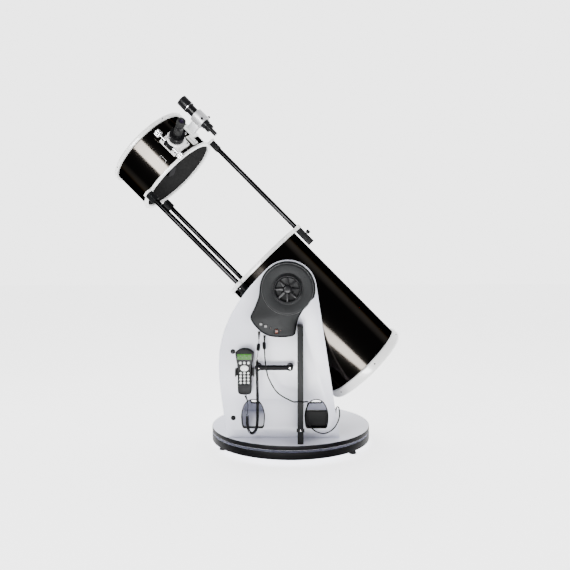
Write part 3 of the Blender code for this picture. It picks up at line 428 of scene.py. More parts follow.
class Piece:
    """One visible object made of several shapes, each with its own material."""

    def __init__(self, name, body, slot, replaces=()):
        self.name, self.body, self.slot_name, self.nodes = name, body, slot, replaces
        self.bm = bmesh.new()
        self.materials = []

    def add(self, mesh, kind, place=WORLD):
        """Take a shape in, at its place."""
        if kind not in self.materials:
            self.materials.append(kind)
        mesh.transform(place)
        start = len(self.bm.faces)
        self.bm.from_mesh(mesh)
        self.bm.faces.ensure_lookup_table()
        for face in self.bm.faces[start:]:
            face.material_index = self.materials.index(kind)
        bpy.data.meshes.remove(mesh)

    def screw(self, radius, height, kind, place):
        """Take in a screw head."""
        self.add(screw_head(radius, height), kind, place)

    def done(self):
        """Make the object, and have it ride on its body."""
        mesh = bpy.data.meshes.new(self.name)
        self.bm.to_mesh(mesh)
        self.bm.free()
        mesh.shade_smooth()
        mesh.set_sharp_from_angle(angle=math.radians(38))
        for kind in self.materials:
            mesh.materials.append(M[kind])
        obj = linked(self.name, mesh)
        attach(obj, self.body)
        if self.nodes:
            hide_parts(*self.nodes)
        return obj


# ---- camera, floor and light
def camera():
    """Level with the tube's lower half, looking slightly down."""
    data = bpy.data.cameras.new("camera")
    data.sensor_width = 36.0
    data.lens = 37.895
    data.clip_start = 0.05
    data.clip_end = 60.0
    obj = linked("camera", data)
    pan = Matrix.Rotation(math.radians(1.05), 4, "Z")
    pitch = Matrix.Rotation(math.radians(90 - 1.91), 4, "X")
    roll = Matrix.Rotation(math.radians(-0.18), 4, "Z")
    obj.matrix_world = Matrix.Translation((AZIMUTH_X + 0.024, -2.52, 0.743)) @ pan @ pitch @ roll
    bpy.context.scene.camera = obj


def area_light(name, place, target, size, energy, roll=0.0, card=False):
    """A rectangular light turned to its target; a card is seen in reflections only, and any other light never."""
    data = bpy.data.lights.new(name, "AREA")
    data.shape = "RECTANGLE"
    data.size, data.size_y = size
    data.energy = energy
    obj = linked(name, data)
    obj.location = place
    turn = (Vector(target) - Vector(place)).to_track_quat("-Z", "Y").to_matrix()
    obj.rotation_euler = (turn @ Matrix.Rotation(math.radians(roll), 3, "Z")).to_euler()
    obj.visible_diffuse = not card
    obj.visible_glossy = card


def studio():
    """White floor, a surround that is bright behind the object, three soft lights and two cards."""
    bm = bmesh.new()
    bmesh.ops.create_grid(bm, x_segments=1, y_segments=1, size=20.0)
    mesh = finished(bm)
    mesh.materials.append(M["floor"])
    floor = linked("floor", mesh)
    floor.visible_glossy = False
    world = bpy.data.worlds.new("surround")
    world.use_nodes = True
    tree = world.node_tree
    background = tree.nodes["Background"]
    background.inputs["Strength"].default_value = 1.0
    coords = tree.nodes.new("ShaderNodeTexCoord")
    split = tree.nodes.new("ShaderNodeSeparateXYZ")
    link(tree, coords, "Generated", split, "Vector")
    ramp = ramp_of(tree, (0.1, 0.1, 0.11), (3.6, 3.6, 3.6), 0.4, 0.84)
    span = tree.nodes.new("ShaderNodeMapRange")
    span.inputs["From Min"].default_value = -1.0
    span.inputs["From Max"].default_value = 1.0
    link(tree, split, "Y", span, "Value")
    link(tree, span, "Result", ramp, "Fac")
    link(tree, ramp, "Color", background, "Color")
    bpy.context.scene.world = world
    area_light("key_light", (-1.9, -3.0, 2.6), (0, 0, 0.55), (1.5, 1.9), 95)
    area_light("fill_light", (2.7, -2.3, 1.5), (0.1, 0, 0.6), (0.5, 1.8), 35)
    area_light("top_light", (0.2, 0.2, 3.6), (0, 0, 0.4), (2.6, 2.0), 50)
    area_light("left_card", (-1.5, -3.0, 1.25), (-0.4, -0.18, 1.14), (0.55, 1.5), 230, roll=-45, card=True)
    area_light("floor_card", (0.1, -2.75, 0.01), (0.1, -2.74, 3.0), (1.5, 3.3), 1000, card=True)


camera()
studio()

# ---- cords: the routes of part.py, in metres
HANDSET_CORD_ROUTE = [
    (-0.1170, -0.2420, 0.4140), (-0.1180, -0.2440, 0.3800), (-0.1195, -0.2520, 0.3550),
    (-0.1215, -0.2660, 0.3250), (-0.1230, -0.2750, 0.2950), (-0.1235, -0.2760, 0.2700),
    (-0.1230, -0.2740, 0.2300), (-0.1225, -0.2720, 0.1900), (-0.1225, -0.2690, 0.1500),
    (-0.1230, -0.2660, 0.1100), (-0.1240, -0.2635, 0.0750), (-0.1270, -0.2615, 0.0500),
    (-0.1350, -0.2600, 0.0330), (-0.1455, -0.2595, 0.0270), (-0.1560, -0.2590, 0.0360),
    (-0.1615, -0.2585, 0.0570), (-0.1625, -0.2580, 0.0850), (-0.1610, -0.2570, 0.1120),
    (-0.1600, -0.2555, 0.1330), (-0.1630, -0.2535, 0.1530), (-0.1700, -0.2515, 0.1705),
]
HANDSET_COIL = (3, 17)  # route points between which the cord is curled
AZIMUTH_CABLE_ROUTE = [
    (-0.0960, -0.2420, 0.3995), (-0.0975, -0.2450, 0.3600), (-0.0925, -0.2690, 0.3000),
    (-0.0880, -0.2715, 0.2750), (-0.0800, -0.2705, 0.2400), (-0.0470, -0.2800, 0.1880),
    (0.0050, -0.3100, 0.1630), (0.0250, -0.3165, 0.1610), (0.0390, -0.3172, 0.1605),
    (0.0530, -0.3165, 0.1610), (0.0660, -0.3040, 0.1585), (0.0680, -0.2660, 0.1440),
    (0.0600, -0.2420, 0.0980), (0.0650, -0.2400, 0.0700), (0.0800, -0.2400, 0.0450),
    (0.1020, -0.2400, 0.0280), (0.1280, -0.2400, 0.0220), (0.1540, -0.2380, 0.0300),
    (0.1750, -0.2350, 0.0500), (0.1890, -0.2310, 0.0820), (0.1895, -0.2180, 0.1100),
    (0.1840, -0.1980, 0.1150), (0.1790, -0.1850, 0.1000), (0.1760, -0.1770, 0.0750),
    (0.1612, -0.1750, 0.0650),
]
WIRE_DIAMETER = 0.0024
CURL_RADIUS = 0.0045
CURL_PITCH = 0.0029
CURL_LEAD = 0.05  # added to the pitch where the curl begins and ends
CABLE_DIAMETER = 0.005


def length_of(points):
    """Length of a line."""
    return sum((b - a).length for a, b in zip(points, points[1:]))


def walked(points, step):
    """Points at equal steps along a line, with the direction at each."""
    result = []
    carry = 0.0
    for a, b in zip(points, points[1:]):
        length = (b - a).length
        direction = (b - a) / length
        while carry <= length:
            result.append((a + direction * carry, direction))
            carry += step
        carry -= length
    result.append((points[-1], direction))
    return result


def curled_line():
    """The handset cord's centreline: straight ends, small turns between them."""
    route = smooth_through(HANDSET_CORD_ROUTE, 24)
    start, stop = (length_of(route[:24 * point + 1]) for point in HANDSET_COIL)
    ease = 0.02
    step = CURL_PITCH / 14
    side = Vector((0, -1, 0))
    line, angle, travelled = [], 0.0, 0.0
    for place, direction in walked(route, step):
        side = (side - direction * side.dot(direction)).normalized()
        across = direction.cross(side)
        grown = min(1.0, max(0.0, (travelled - start) / ease), max(0.0, (stop - travelled) / ease))
        grown = grown * grown * (3 - 2 * grown)
        if start <= travelled <= stop:
            angle += 2 * math.pi * step / (CURL_PITCH + CURL_LEAD * (1 - grown))
            swing = CURL_RADIUS * grown
            line.append(place + (side * math.cos(angle) + across * math.sin(angle)) * swing)
        elif len(line) == 0 or (place - line[-1]).length > 0.002:
            line.append(place)
        travelled += step
    return line


def cord_piece(name, points, diameter):
    """A round cord as one open curve."""
    curve = round_line(name, points, diameter / 2)
    curve.materials.append(M["cord"])
    obj = linked(name, curve)
    obj.matrix_world = ROCKER
    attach(obj, "rocker")
    return obj


def along(points, index, ahead=1):
    """Rocker frame at a route point, with Z along the route."""
    here = Vector(points[index])
    direction = (Vector(points[index + ahead]) - here).normalized()
    return ROCKER @ Matrix.Translation(here) @ direction.to_track_quat("Z", "Y").to_matrix().to_4x4()


def cord_fitting(name, points, lump_at):
    """Plug and strain relief at the drive, and the noise filter further down."""
    plug = Piece(name, "rocker", "cord_rubber")
    relief = mm((0, 30), (2.4, 30), (3, 24), (2.7, 22.5), (3.4, 19), (3.1, 17.5), (4, 13), (4.6, 6), (4.8, 0),
                (0, 0))
    plug.add(lathe(relief, 24, 0.0004), "rubber", along(points, 0))
    lump = mm((0, 15), (2.6, 15), (5.44, 13), (6.8, 10), (6.8, -10), (5.44, -13), (2.6, -15), (0, -15))
    plug.add(lathe(lump, 24, 0.001), "plastic", along(points, lump_at))
    return plug.done()


def free_cord(name, node, line, diameter, fittings):
    """A cord piece in place of its node; the fittings are made after it."""
    cord = cord_piece(name, line, diameter)
    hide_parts(node)
    [make() for make in fittings]


def cord_relief():
    """Tapered boot at the hand controller."""
    relief = Piece("handset_cord_relief", "rocker", "cord_rubber")
    boot = mm((0, 24), (2, 24), (2.8, 16), (2.5, 14.5), (3.6, 8), (4.6, 0), (0, 0))
    end = len(HANDSET_CORD_ROUTE) - 1
    relief.add(lathe(boot, 24, 0.0004), "rubber", along(HANDSET_CORD_ROUTE, end, -1))
    return relief.done()


free_cord("handset_curly_cord", "handset_cord", curled_line(), WIRE_DIAMETER,
          [lambda: cord_fitting("handset_cord_plug", HANDSET_CORD_ROUTE, 2), cord_relief])
free_cord("azimuth_drive_cable", "azimuth_cable", smooth_through(AZIMUTH_CABLE_ROUTE, 8), CABLE_DIAMETER,
          [lambda: cord_fitting("azimuth_cable_plug", AZIMUTH_CABLE_ROUTE, 1)])


# ---- ground and rocker box
ARCH_SHAPE = [(-0.8, 0.0), (-0.9, 0.05), (-0.97, 0.22), (-1.0, 0.42), (-0.94, 0.6), (-0.79, 0.78), (-0.54, 0.92),
              (-0.2, 0.99), (0.2, 0.99), (0.54, 0.92), (0.79, 0.78), (0.94, 0.6), (1.0, 0.42), (0.97, 0.22),
              (0.9, 0.05), (0.8, 0.0)]
ARCH_CENTRES = (-0.1435, 0.102)
ARCH_HALF, ARCH_HEIGHT, ARCH_SILL = 0.0445, 0.111, 0.037
AXIS_FROM_AZIMUTH = ALTITUDE.x - AZIMUTH_X
AXIS_HEIGHT = ALTITUDE.z - BOARD_TOP


def arch(centre, inset=0.0):
    """Outline of an arched opening, shrunk by the inset."""
    points = []
    for x, y in ARCH_SHAPE:
        points.append((centre + x * (ARCH_HALF - inset), ARCH_SILL + inset + y * (ARCH_HEIGHT - 2 * inset)))
    return filleted(points, 0.006, closed=True, steps=2)


def panel_outline():
    """Round top about the altitude axis, bulging front edge, straight back edge."""
    axis = (AXIS_FROM_AZIMUTH, AXIS_HEIGHT)
    top = arc(axis, 0.111, 9, 134, 48)
    left = top[-1]
    upper = bezier(left, (left[0] - 0.133, left[1] - 0.128), (-0.275, 0.418), (-0.275, 0.278), 28)
    lower = bezier((-0.275, 0.278), (-0.275, 0.19), (-0.255, 0.09), (-0.245, 0.0), 18)
    return top + upper + lower + [(0.191, 0.0)]


def disc(name, body, node, over=0.0, painted_shadow_under=0.0):
    """Laminated board with a black edge moulding that can stand over it; where it carries on under the board, the
    black band is painted shadow.
    """
    low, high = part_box(node)
    middle = at(AZIMUTH_X, 0, (low.z + high.z) / 2)
    radius = (high.x - low.x) / 2
    half = (high.z - low.z) / 2
    piece = Piece(name, body, "laminated_board", (node,))
    piece.add(lathe(ring_profile(radius - 0.0012, 0.0065, -half, half), 160, closed=True), "laminate", middle)
    # below the board the black band is painted shadow, not moulding
    top, bottom = half + over, -half - painted_shadow_under
    band = [(radius - 0.0014, top - 0.0004), (radius - 0.0003, top - 0.0008), (radius, top - 0.002),
            (radius, bottom + 0.002), (radius - 0.0003, bottom + 0.0008), (radius - 0.0014, bottom + 0.0004)]
    piece.add(lathe(band, 160, closed=True), "edging", middle)
    piece.done()


def mirrored(points, side):
    """The near panel's outline, turned over for the far one."""
    return [(x * -side, y) for x, y in points]


def boards():
    """Both discs, and the side panels with their moulded arch trims and caps."""
    # the ground disc's band runs 3.5 mm on under the board as painted shadow
    disc("ground_disc", "base", "ground_board", 0.0075, 0.0035)
    disc("rocker_disc", "rocker", "rocker_board")
    hole = circle(0.015, 32, (AXIS_FROM_AZIMUTH, AXIS_HEIGHT))
    for side, node, facing in ((-1, "near_side_panel", facing_near), (1, "far_side_panel", facing_far)):
        middle = side * (PANEL_INNER + PANEL_FACE) / 2
        outlines = [mirrored(points, side) for points in [panel_outline(), hole] + [arch(c) for c in ARCH_CENTRES]]
        panel = Piece(node.replace("_side", "") + "_board", "rocker", "laminated_board", (node,))
        panel.add(plate(outlines, 0.018, 0.0009), "laminate", facing(AZIMUTH_X, middle, BOARD_TOP + GAP))
        panel.done()
        trims = Piece(node.replace("_side_panel", "") + "_arch_trims", "rocker", "black_plastic")
        for centre in ARCH_CENTRES:
            rim = mirrored(arch(centre, -0.0022), side)
            mouth = mirrored(arch(centre, 0.0016), side)
            for face, depth in ((PANEL_FACE + 0.0004, 0.0012), (PANEL_INNER - 0.0006, 0.0012)):
                place = facing(AZIMUTH_X, side * face, BOARD_TOP + GAP)
                trims.add(plate([rim, mouth], depth, 0.0004), "plastic", place)
            liner = mirrored(arch(centre, 0.0002), side)
            place = facing(AZIMUTH_X, middle, BOARD_TOP + GAP)
            trims.add(plate([liner, mouth], 0.0186, 0.0003), "plastic", place)
        trims.done()
    caps = Piece("panel_caps", "rocker", "black_plastic")
    dome = mm((0, 4.6), (4, 4.3), (8, 2.8), (10, 0), (0, 0))
    for height in (0.334, 0.076):
        place = facing_near(AZIMUTH_X - 0.22, -PANEL_FACE, BOARD_TOP + height)
        caps.add(lathe(dome, 40, 0.0012), "plastic", place)
    caps.done()


def brace_and_handle():
    """Upright rib with its cable clip, and the carry handle."""
    low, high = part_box("side_brace")
    centre = (low + high) / 2
    rib_depth = 0.0935
    back = -PANEL_FACE - GAP
    rib = Piece("side_rib", "rocker", "black_board", ("side_brace",))
    size = (0.022, rib_depth, high.z - low.z)
    rib.add(block(size, 0.0016), "black_board", at(centre.x, back - rib_depth / 2, centre.z))
    clip_z = BOARD_TOP + 0.052
    front = back - rib_depth
    rib.add(block((0.03, 0.014, 0.011), 0.0016), "plastic", at(centre.x, front + 0.006, clip_z))
    rib.screw(0.003, 0.0016, "steel", facing_near(centre.x, front - 0.001, clip_z))
    for height in (0.13, 0.27, 0.4):
        place = frame_matrix((0, 1, 0), (0, 0, 1), (1, 0, 0), (centre.x + 0.011, back - 0.02, BOARD_TOP + height))
        rib.screw(0.0035, 0.0016, "satin", place)
    rib.done()
    low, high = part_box("carry_handle")
    middle = (low + high) / 2
    reach = -PANEL_FACE - GAP - 0.038
    half = 0.072
    handle = Piece("grip_handle", "rocker", "black_plastic", ("carry_handle",))
    grip = [(0, half), (0.0066, half), (0.0094, half - 0.003), (0.01, half - 0.008)]
    for i in range(17):
        place = 0.048 - i * 0.006
        grip += [(0.01, place + 0.0012), (0.0094, place + 0.0004), (0.0094, place - 0.0004), (0.01, place - 0.0012)]
    grip += [(0.01, -half + 0.008), (0.0094, -half + 0.003), (0.0066, -half), (0, -half)]
    lying = at(middle.x, reach, middle.z) @ SIDEWAYS
    handle.add(lathe(grip, 40, 0.0004), "plastic", lying)
    post = mm((0, 49.5), (8.5, 49), (11.5, 45), (12.8, 40), (11.2, 30), (10.5, 15), (11.8, 6), (13, 2.5), (13, 0),
              (0, 0))
    for side in (-1, 1):
        place = facing_near(middle.x + side * (half - 0.012), -PANEL_FACE - GAP, middle.z)
        handle.add(lathe(post, 40, 0.0016), "plastic", place)
        handle.screw(0.0034, 0.0012, "steel", place @ up(0.0488))
    handle.done()


boards()
brace_and_handle()


# ---- altitude drive
HOUSING_DEPTH = 0.045
CLUTCH_FINGERS = HOUSING_DEPTH + 0.0095
HOUSING_FACE = facing_near(ALTITUDE.x, -PANEL_FACE - GAP, ALTITUDE.z)


def housing_outline(inset=0.0):
    """Round about the altitude axis, with a skirt that flares down to the sockets."""
    skirt = mm((-110.5, -30), (-126.5, -72), (-141.5, -104), (-133, -128), (-109, -156), (-81, -174), (-51, -182),
               (-2, -182), (27, -172), (33.2, -140), (45, -104), (72, -62))
    round_part = arc((0, 0), 0.106, -18, 180, 72)
    blend = smooth_through([round_part[-1]] + skirt + [round_part[0]], 8)
    points = round_part + [tuple(p) for p in blend[1:-1]]
    if not inset:
        return points
    moved = []
    for i, point in enumerate(points):
        ahead = Vector(points[(i + 1) % len(points)]) - Vector(points[i - 1])
        normal = Vector((-ahead.y, ahead.x)).normalized()
        moved.append(tuple(Vector(point) + normal * inset))
    return moved


def on_housing(x=0.0, y=0.0, z=0.0):
    """Place on the drive's front face."""
    return HOUSING_FACE @ at(x, y, HOUSING_DEPTH + z)


def drive_cover():
    """Moulded shell with a raised disc, sockets and a switch surround."""
    cover = Piece("drive_cover", "rocker", "charcoal_plastic", ("altitude_drive_housing",))
    slot = rectangle(11, 17, *SWITCH)
    bm = bmesh.new()
    levels = [(0, -HOUSING_DEPTH)] + mm((0, -9), (1.2, -4.5), (3.6, -1.5), (7, -0.3))
    rings = [[bm.verts.new((x, y, z)) for x, y in housing_outline(inset)] for inset, z in levels]
    for a, b in zip(rings, rings[1:]):
        bridge(bm, a, b)
    cover.add(finished(bm), "charcoal", on_housing())
    face = plate([housing_outline(0.0066), circle(0.016, 40), slot], 0.003, 0.0002, 1)
    cover.add(face, "charcoal", on_housing(0, 0, -0.0018))
    raised = mm((60, -1.2), (60.5, 0.6), (90, 1.4), (95, 0.8), (96.5, -0.8))
    cover.add(lathe(raised, 128, 0.0012), "charcoal", on_housing())
    cover.add(lathe(mm((96.8, -0.2), (97.4, 0.1), (98, -0.2)), 128), "mark", on_housing())
    cover.add(plate([rounded(14.85, 20.74, 2, *SWITCH), slot], 0.0016, 0.0005), "plastic", on_housing(0, 0, 0.0002))
    for x, y in ((-0.101, -0.132), (-0.083, -0.14)):
        mouth = rectangle(11.4, 9.62)
        cover.add(plate([rounded(15, 13, 1.5), mouth], 0.0014, 0.0004), "satin", on_housing(x, y))
        cover.add(block((0.01, 0.0082, 0.0008), 0.0002), "mark", on_housing(x, y, -0.0002))
    inlet = on_housing(-0.064, -0.147)
    cover.add(lathe(mm((2.4, 0.4), (2.6, 1.4), (4.8, 1.4), (5.4, 0)), 32, 0.0004), "satin", inlet)
    cover.add(lathe(mm((0, 1.6), (0.8, 1.4), (1.1, 0.2)), 16), "red", inlet)
    cover.add(lathe(mm((0, 1.6), (1, 1.3), (1.7, 0)), 20, 0.0004), "red", on_housing(-0.026, -0.156))
    for angle in (35, 150, 262):
        cover.screw(0.0026, 0.001, "satin", on_housing(*spot(0.078, angle), 0.0008))
    cover.done()


SWITCH = (-42, -160)  # power switch, from the altitude axis in millimetres


def clutch_wheel():
    """Recessed handwheel with a hub, a rim and eight fingers."""
    wheel = Piece("clutch_wheel", "clutch", "black_plastic", ("altitude_clutch_knob",))
    dish = mm((0, 4.5), (44, 4.5), (44.5, 12), (46.5, 16.5), (50, 17.8), (53, 15), (54, 6), (53.5, 1.8), (0, 1.8))
    wheel.add(lathe(dish, 96, 0.0015), "plastic", on_housing())
    hub = mm((0, 23.5), (9.5, 23.2), (15, 21.2), (17.2, 16.5), (18, 5), (0, 5))
    wheel.add(lathe(hub, 64, 0.002, ribs=(16, 0.0006, 0.0168)), "satin", on_housing())
    finger = filleted(mm((16, -5.8), (47, -3.8), (47, 3.8), (16, 5.8)), 0.0016, True)
    for i in range(8):
        place = HOUSING_FACE @ turned_by(45 * i) @ up(CLUTCH_FINGERS)
        wheel.add(plate([finger], 0.013, 0.0018, 3), "satin", place)
    wheel.done()


def far_cover():
    """Stepped cap over the far bearing, with its screws."""
    cap = Piece("far_bearing_cap", "rocker", "charcoal_plastic", ("far_bearing_cover",))
    place = facing_far(ALTITUDE.x, PANEL_FACE + GAP, ALTITUDE.z)
    profile = mm((0, 26), (39.5, 26), (42, 24), (48, 22.5), (57.5, 18.5), (60.5, 8), (62, 0), (15, 0), (15, 19.5),
                 (0, 19.5))
    cap.add(lathe(profile, 96, 0.002), "charcoal", place)
    for angle in (30, 150, 270):
        cap.screw(0.003, 0.0014, "steel", place @ at(*spot(0.03, angle), 0.0258))
    cap.done()


def power_switch():
    """Two-way rocker in the switch slot."""
    low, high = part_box("power_switch")
    middle = (low + high) / 2
    key = Piece("switch_rocker", "switch", "red_plastic", ("power_switch",))
    sides = mm((-7.8, -2), (-4, -4.6), (0, -3.4), (4, -5), (7.8, -3), (7, 5), (-7, 5))
    outline = filleted(sides, 0.0012, True)
    place = frame_matrix((0, 0, 1), (0, 1, 0), (-1, 0, 0), middle)
    key.add(plate([outline], high.x - low.x, 0.0005), "red", place)
    key.done()


drive_cover()
clutch_wheel()
far_cover()
power_switch()


# ---- hand controller
HANDSET_LOW, HANDSET_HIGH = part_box("handset_case")
HANDSET_X = (HANDSET_LOW.x + HANDSET_HIGH.x) / 2
HANDSET_FACE = facing_near(HANDSET_X, HANDSET_LOW.y, HANDSET_LOW.z)
HANDSET_THICK = HANDSET_HIGH.y - HANDSET_LOW.y
HANDSET_TALL = HANDSET_HIGH.z - HANDSET_LOW.z
KEY_HEIGHT, PAD_HEIGHT = 0.124, 0.1035
KEYS = {"left": -0.0155, "middle": 0.0, "right": 0.0155}


def handset():
    """Case with a display window and keys that each ride on their own body."""
    top = arc((0, HANDSET_TALL - 0.047), 0.045, 38, 142, 25)
    right = [(0.033, HANDSET_TALL - 0.042), (0.0275, 0.112), (0.0262, 0.085), (0.0262, 0.012), (0.0215, 0.004)]
    points = top + [(-x, y) for x, y in right] + [(0.0, 0.0)] + right[::-1]
    outline = filleted(points, 0.01, True, 4)
    wells = [circle(0.0056, 28, (x, KEY_HEIGHT)) for x in KEYS.values()]
    pad_well = [(x * 0.0159, y * 0.0116 + PAD_HEIGHT) for x, y in circle(1.0, 40)]
    mat_well = rounded(44, 48, 3, 0, 67.1)
    case = Piece("controller_case", "rocker", "black_plastic", ("handset_case",))
    shell = plate([outline], HANDSET_THICK - 0.0036, 0.0042, 4)
    case.add(shell, "plastic", HANDSET_FACE @ up(-HANDSET_THICK / 2 - 0.0018))
    fascia = [(x * 0.93, 0.004 + y * 0.955) for x, y in outline]
    front = plate([fascia, pad_well, mat_well] + wells, 0.0036, 0.0008)
    case.add(front, "plastic", HANDSET_FACE @ up(-0.0018))
    window = filleted(mm((-29.5, 134.5), (29.5, 134.5), (31, 160), (-31, 160)), 0.004, True)
    case.add(plate([window], 0.001, 0.0004), "satin", HANDSET_FACE @ up(0.0003))
    case.add(block((0.053, 0.0216, 0.0008), 0.0003), "screen", HANDSET_FACE @ at(0, 0.1476, 0.0007))
    for row in (0.1512, 0.144):
        for column in range(16):
            cell = HANDSET_FACE @ at(-0.024 + column * 0.0032, row, 0.0011)
            case.add(block((0.0024, 0.0046, 0.0002), 0.00005, 1), "mark" if (column + int(row * 1e4)) % 5 == 0
                     else "screen", cell)
    for side in (-1, 1):
        for i in range(5):
            place = HANDSET_FACE @ at(side * 0.0262, 0.03 + i * 0.006, -0.013)
            case.add(block((0.0012, 0.0028, 0.016), 0.0004), "rubber", place)
    case.done()
    dome = mm((0, 2.1), (2.8, 1.9), (4.6, 1), (5.2, -0.4), (5.2, -2), (0, -2))
    for letter, (side, x) in zip("abc", KEYS.items()):
        key = Piece("function_key_" + letter, side + "_key", "key", ("key_" + side,))
        key.add(lathe(dome, 32, 0.0006), "key", HANDSET_FACE @ at(x, KEY_HEIGHT, 0))
        key.done()
    pad = Piece("arrow_pad", "pad", "key", ("direction_pad",))
    oval = [(x * 0.0155, y * 0.0112) for x, y in circle(1.0, 48)]
    pad.add(plate([oval], 0.0042, 0.0011, 3), "key", HANDSET_FACE @ at(0, PAD_HEIGHT, 0.0003))
    for angle, reach in ((0, 0.0108), (90, 0.0072), (180, 0.0108), (270, 0.0072)):
        place = HANDSET_FACE @ at(0, PAD_HEIGHT, 0.0024) @ turned_by(angle) @ at(reach)
        pad.add(plate([mm((1.8, 0), (-1, 1.9), (-1, -1.9))], 0.0003, 0.00005, 1), "mark", place)
    pad.done()
    keys = Piece("keypad", "numbers", "key", ("number_keys",))
    web = rounded(43, 47, 3, 0, 67.1)
    keys.add(plate([web], 0.001, 0.0003), "plastic", HANDSET_FACE @ up(-0.0015))
    cap = mm((0, 2.2), (2.8, 2), (4.1, 1.2), (4.6, -0.2), (4.6, -1.6), (0, -1.6))
    for index, label in enumerate("*0#789456123"):
        row, column = divmod(index, 3)
        place = HANDSET_FACE @ at((column - 1) * 0.0145, 0.049 + row * 0.0121, 0)
        keys.add(lathe(cap, 28, 0.0005), "key", place)
        if label.isdigit():
            keys.add(numeral(label, 0.0044), "mark", place @ up(0.0021))
    keys.done()


def numeral(label, height):
    """A plain digit as a thin raised mark, centred."""
    text = bpy.data.curves.new("digit", "FONT")
    text.body = label
    text.size = height
    text.extrude = 0.0001
    text.align_x = "CENTER"
    text.align_y = "CENTER"
    text.resolution_u = 3
    return from_curve(text)


handset()


# ---- lower tube
TUBE_RADIUS, TUBE_WALL = 0.1775, 0.0012
RING_RADIUS = 0.188
ROD_CIRCLE = 0.197
RODS = {"top": 0, "near": 130, "far": -130}
LOWER_ENDS, CAGE_ENDS = (-0.4637, 0.1397), (0.6603, 0.8157)
FINDER = around(25, 0.251, 0.727)
FOCUS_SHAFT = -0.034  # beside the drawtube


def shell(name, body, node, low, high):
    """Rolled tube: gloss outside, matte black inside, with a folded lip at each end."""
    piece = Piece(name, body, "black_tube", (node,))
    inner = TUBE_RADIUS - TUBE_WALL
    outside = [(inner + 0.0002, high), (TUBE_RADIUS, high), (TUBE_RADIUS, low), (inner + 0.0002, low)]
    piece.add(lathe(outside, 192), "gloss", TUBE)
    piece.add(lathe([(inner, low), (inner, high)], 192), "baffle", TUBE)
    return piece


def lugged(piece, low, high):
    """A flat ring whose three lugs carry the truss rods."""
    half_width, lug = 0.018, 0.214
    half = math.degrees(math.asin(half_width / RING_RADIUS))
    points = []
    places = (0, 130, 230)
    for middle, following in zip(places, places[1:] + (360,)):
        a = math.radians(middle)
        out, side = Vector((math.cos(a), math.sin(a))), Vector((-math.sin(a), math.cos(a)))
        tip = [(lug - 0.008, -half_width), (lug, -half_width + 0.008), (lug, half_width - 0.008),
               (lug - 0.008, half_width)]
        points += [tuple(out * r + side * w) for r, w in tip]
        points += arc((0, 0), RING_RADIUS, middle + half, following - half, 60)
    holes = [circle(0.171, 144)]
    for middle in places:
        holes.append(circle(0.0103, 32, spot(ROD_CIRCLE, middle)))
    piece.add(plate([points] + holes, high - low, 0.0014, 3), "enamel", TUBE @ up((low + high) / 2))


def screws_round(piece, radius, z, angles, head=0.003, kind="steel"):
    """Radial screw heads round the tube."""
    for angle in angles:
        piece.screw(head, 0.0016, kind, around(angle, radius, z) @ SIDEWAYS)


def lower_tube():
    """Tube, bottom casting and truss ring."""
    shell("main_tube", "tube", "lower_tube", *LOWER_ENDS).done()
    casting = Piece("bottom_casting", "tube", "white_casting", ("bottom_ring",))
    bore = TUBE_RADIUS + GAP
    profile = [(0.1845, -0.432), (RING_RADIUS, -0.4355), (RING_RADIUS, -0.461), (0.1853, -0.465),
               (0.182, -0.47), (0.162, -0.47), (0.162, -0.464), (bore, -0.464), (bore, -0.432)]
    casting.add(lathe(profile, 192, 0.0014, closed=True), "enamel", TUBE)
    screws_round(casting, RING_RADIUS - 0.0004, -0.448, (20, 80, 140, 200, 260, 320), kind="satin")
    casting.done()
    ring = Piece("upper_truss_ring", "tube", "white_casting", ("truss_ring",))
    lugged(ring, 0.14, 0.156)
    screws_round(ring, RING_RADIUS - 0.0004, 0.148, (45, 90, 180, 270, 315), 0.0026)
    ring.done()


def clamps():
    """Clamp boxes under the ring and their knurled thumbscrews."""
    top = LOWER_ENDS[1]
    for name, angle in RODS.items():
        box = Piece("rod_clamp_" + name, "tube", "black_plastic", ("clamp_box_" + name,))
        place = around(angle, ROD_CIRCLE, top - 0.039)
        outline = filleted(mm((-13.5, -15), (11, -15), (14.5, -11), (14.5, 11), (11, 15), (-13.5, 15)), 0.003, True)
        box.add(plate([outline, circle(0.0103, 32)], 0.078, 0.0016, 3), "plastic", place)
        box.add(lathe(ring_profile(0.0128, 0.0105, 0.038, 0.0386), 40, closed=True), "steel", place)
        for z in (-0.03, 0.03):
            screw = place @ at(0.014, 0, z) @ SIDEWAYS
            box.screw(0.0028, 0.0014, "steel", screw)
        box.done()
        thumb = Piece("thumbscrew_" + name, "clamp_" + name, "black_plastic", ("clamp_knob_" + name,))
        seat = around(angle, ROD_CIRCLE + 0.006, top - 0.034) @ SIDEWAYS
        profile = mm((0, 24.5), (7, 24.5), (8.8, 23), (9, 21), (9, 13.5), (7.8, 11.8), (4.2, 10.8), (3, 10))
        thumb.add(lathe(profile, 72, 0.0008, ribs=(18, 0.0007, 0.008)), "plastic", seat)
        thumb.add(lathe(mm((3, 10.8), (3, 5), (0, 5)), 24), "steel", seat)
        thumb.done()


lower_tube()
clamps()


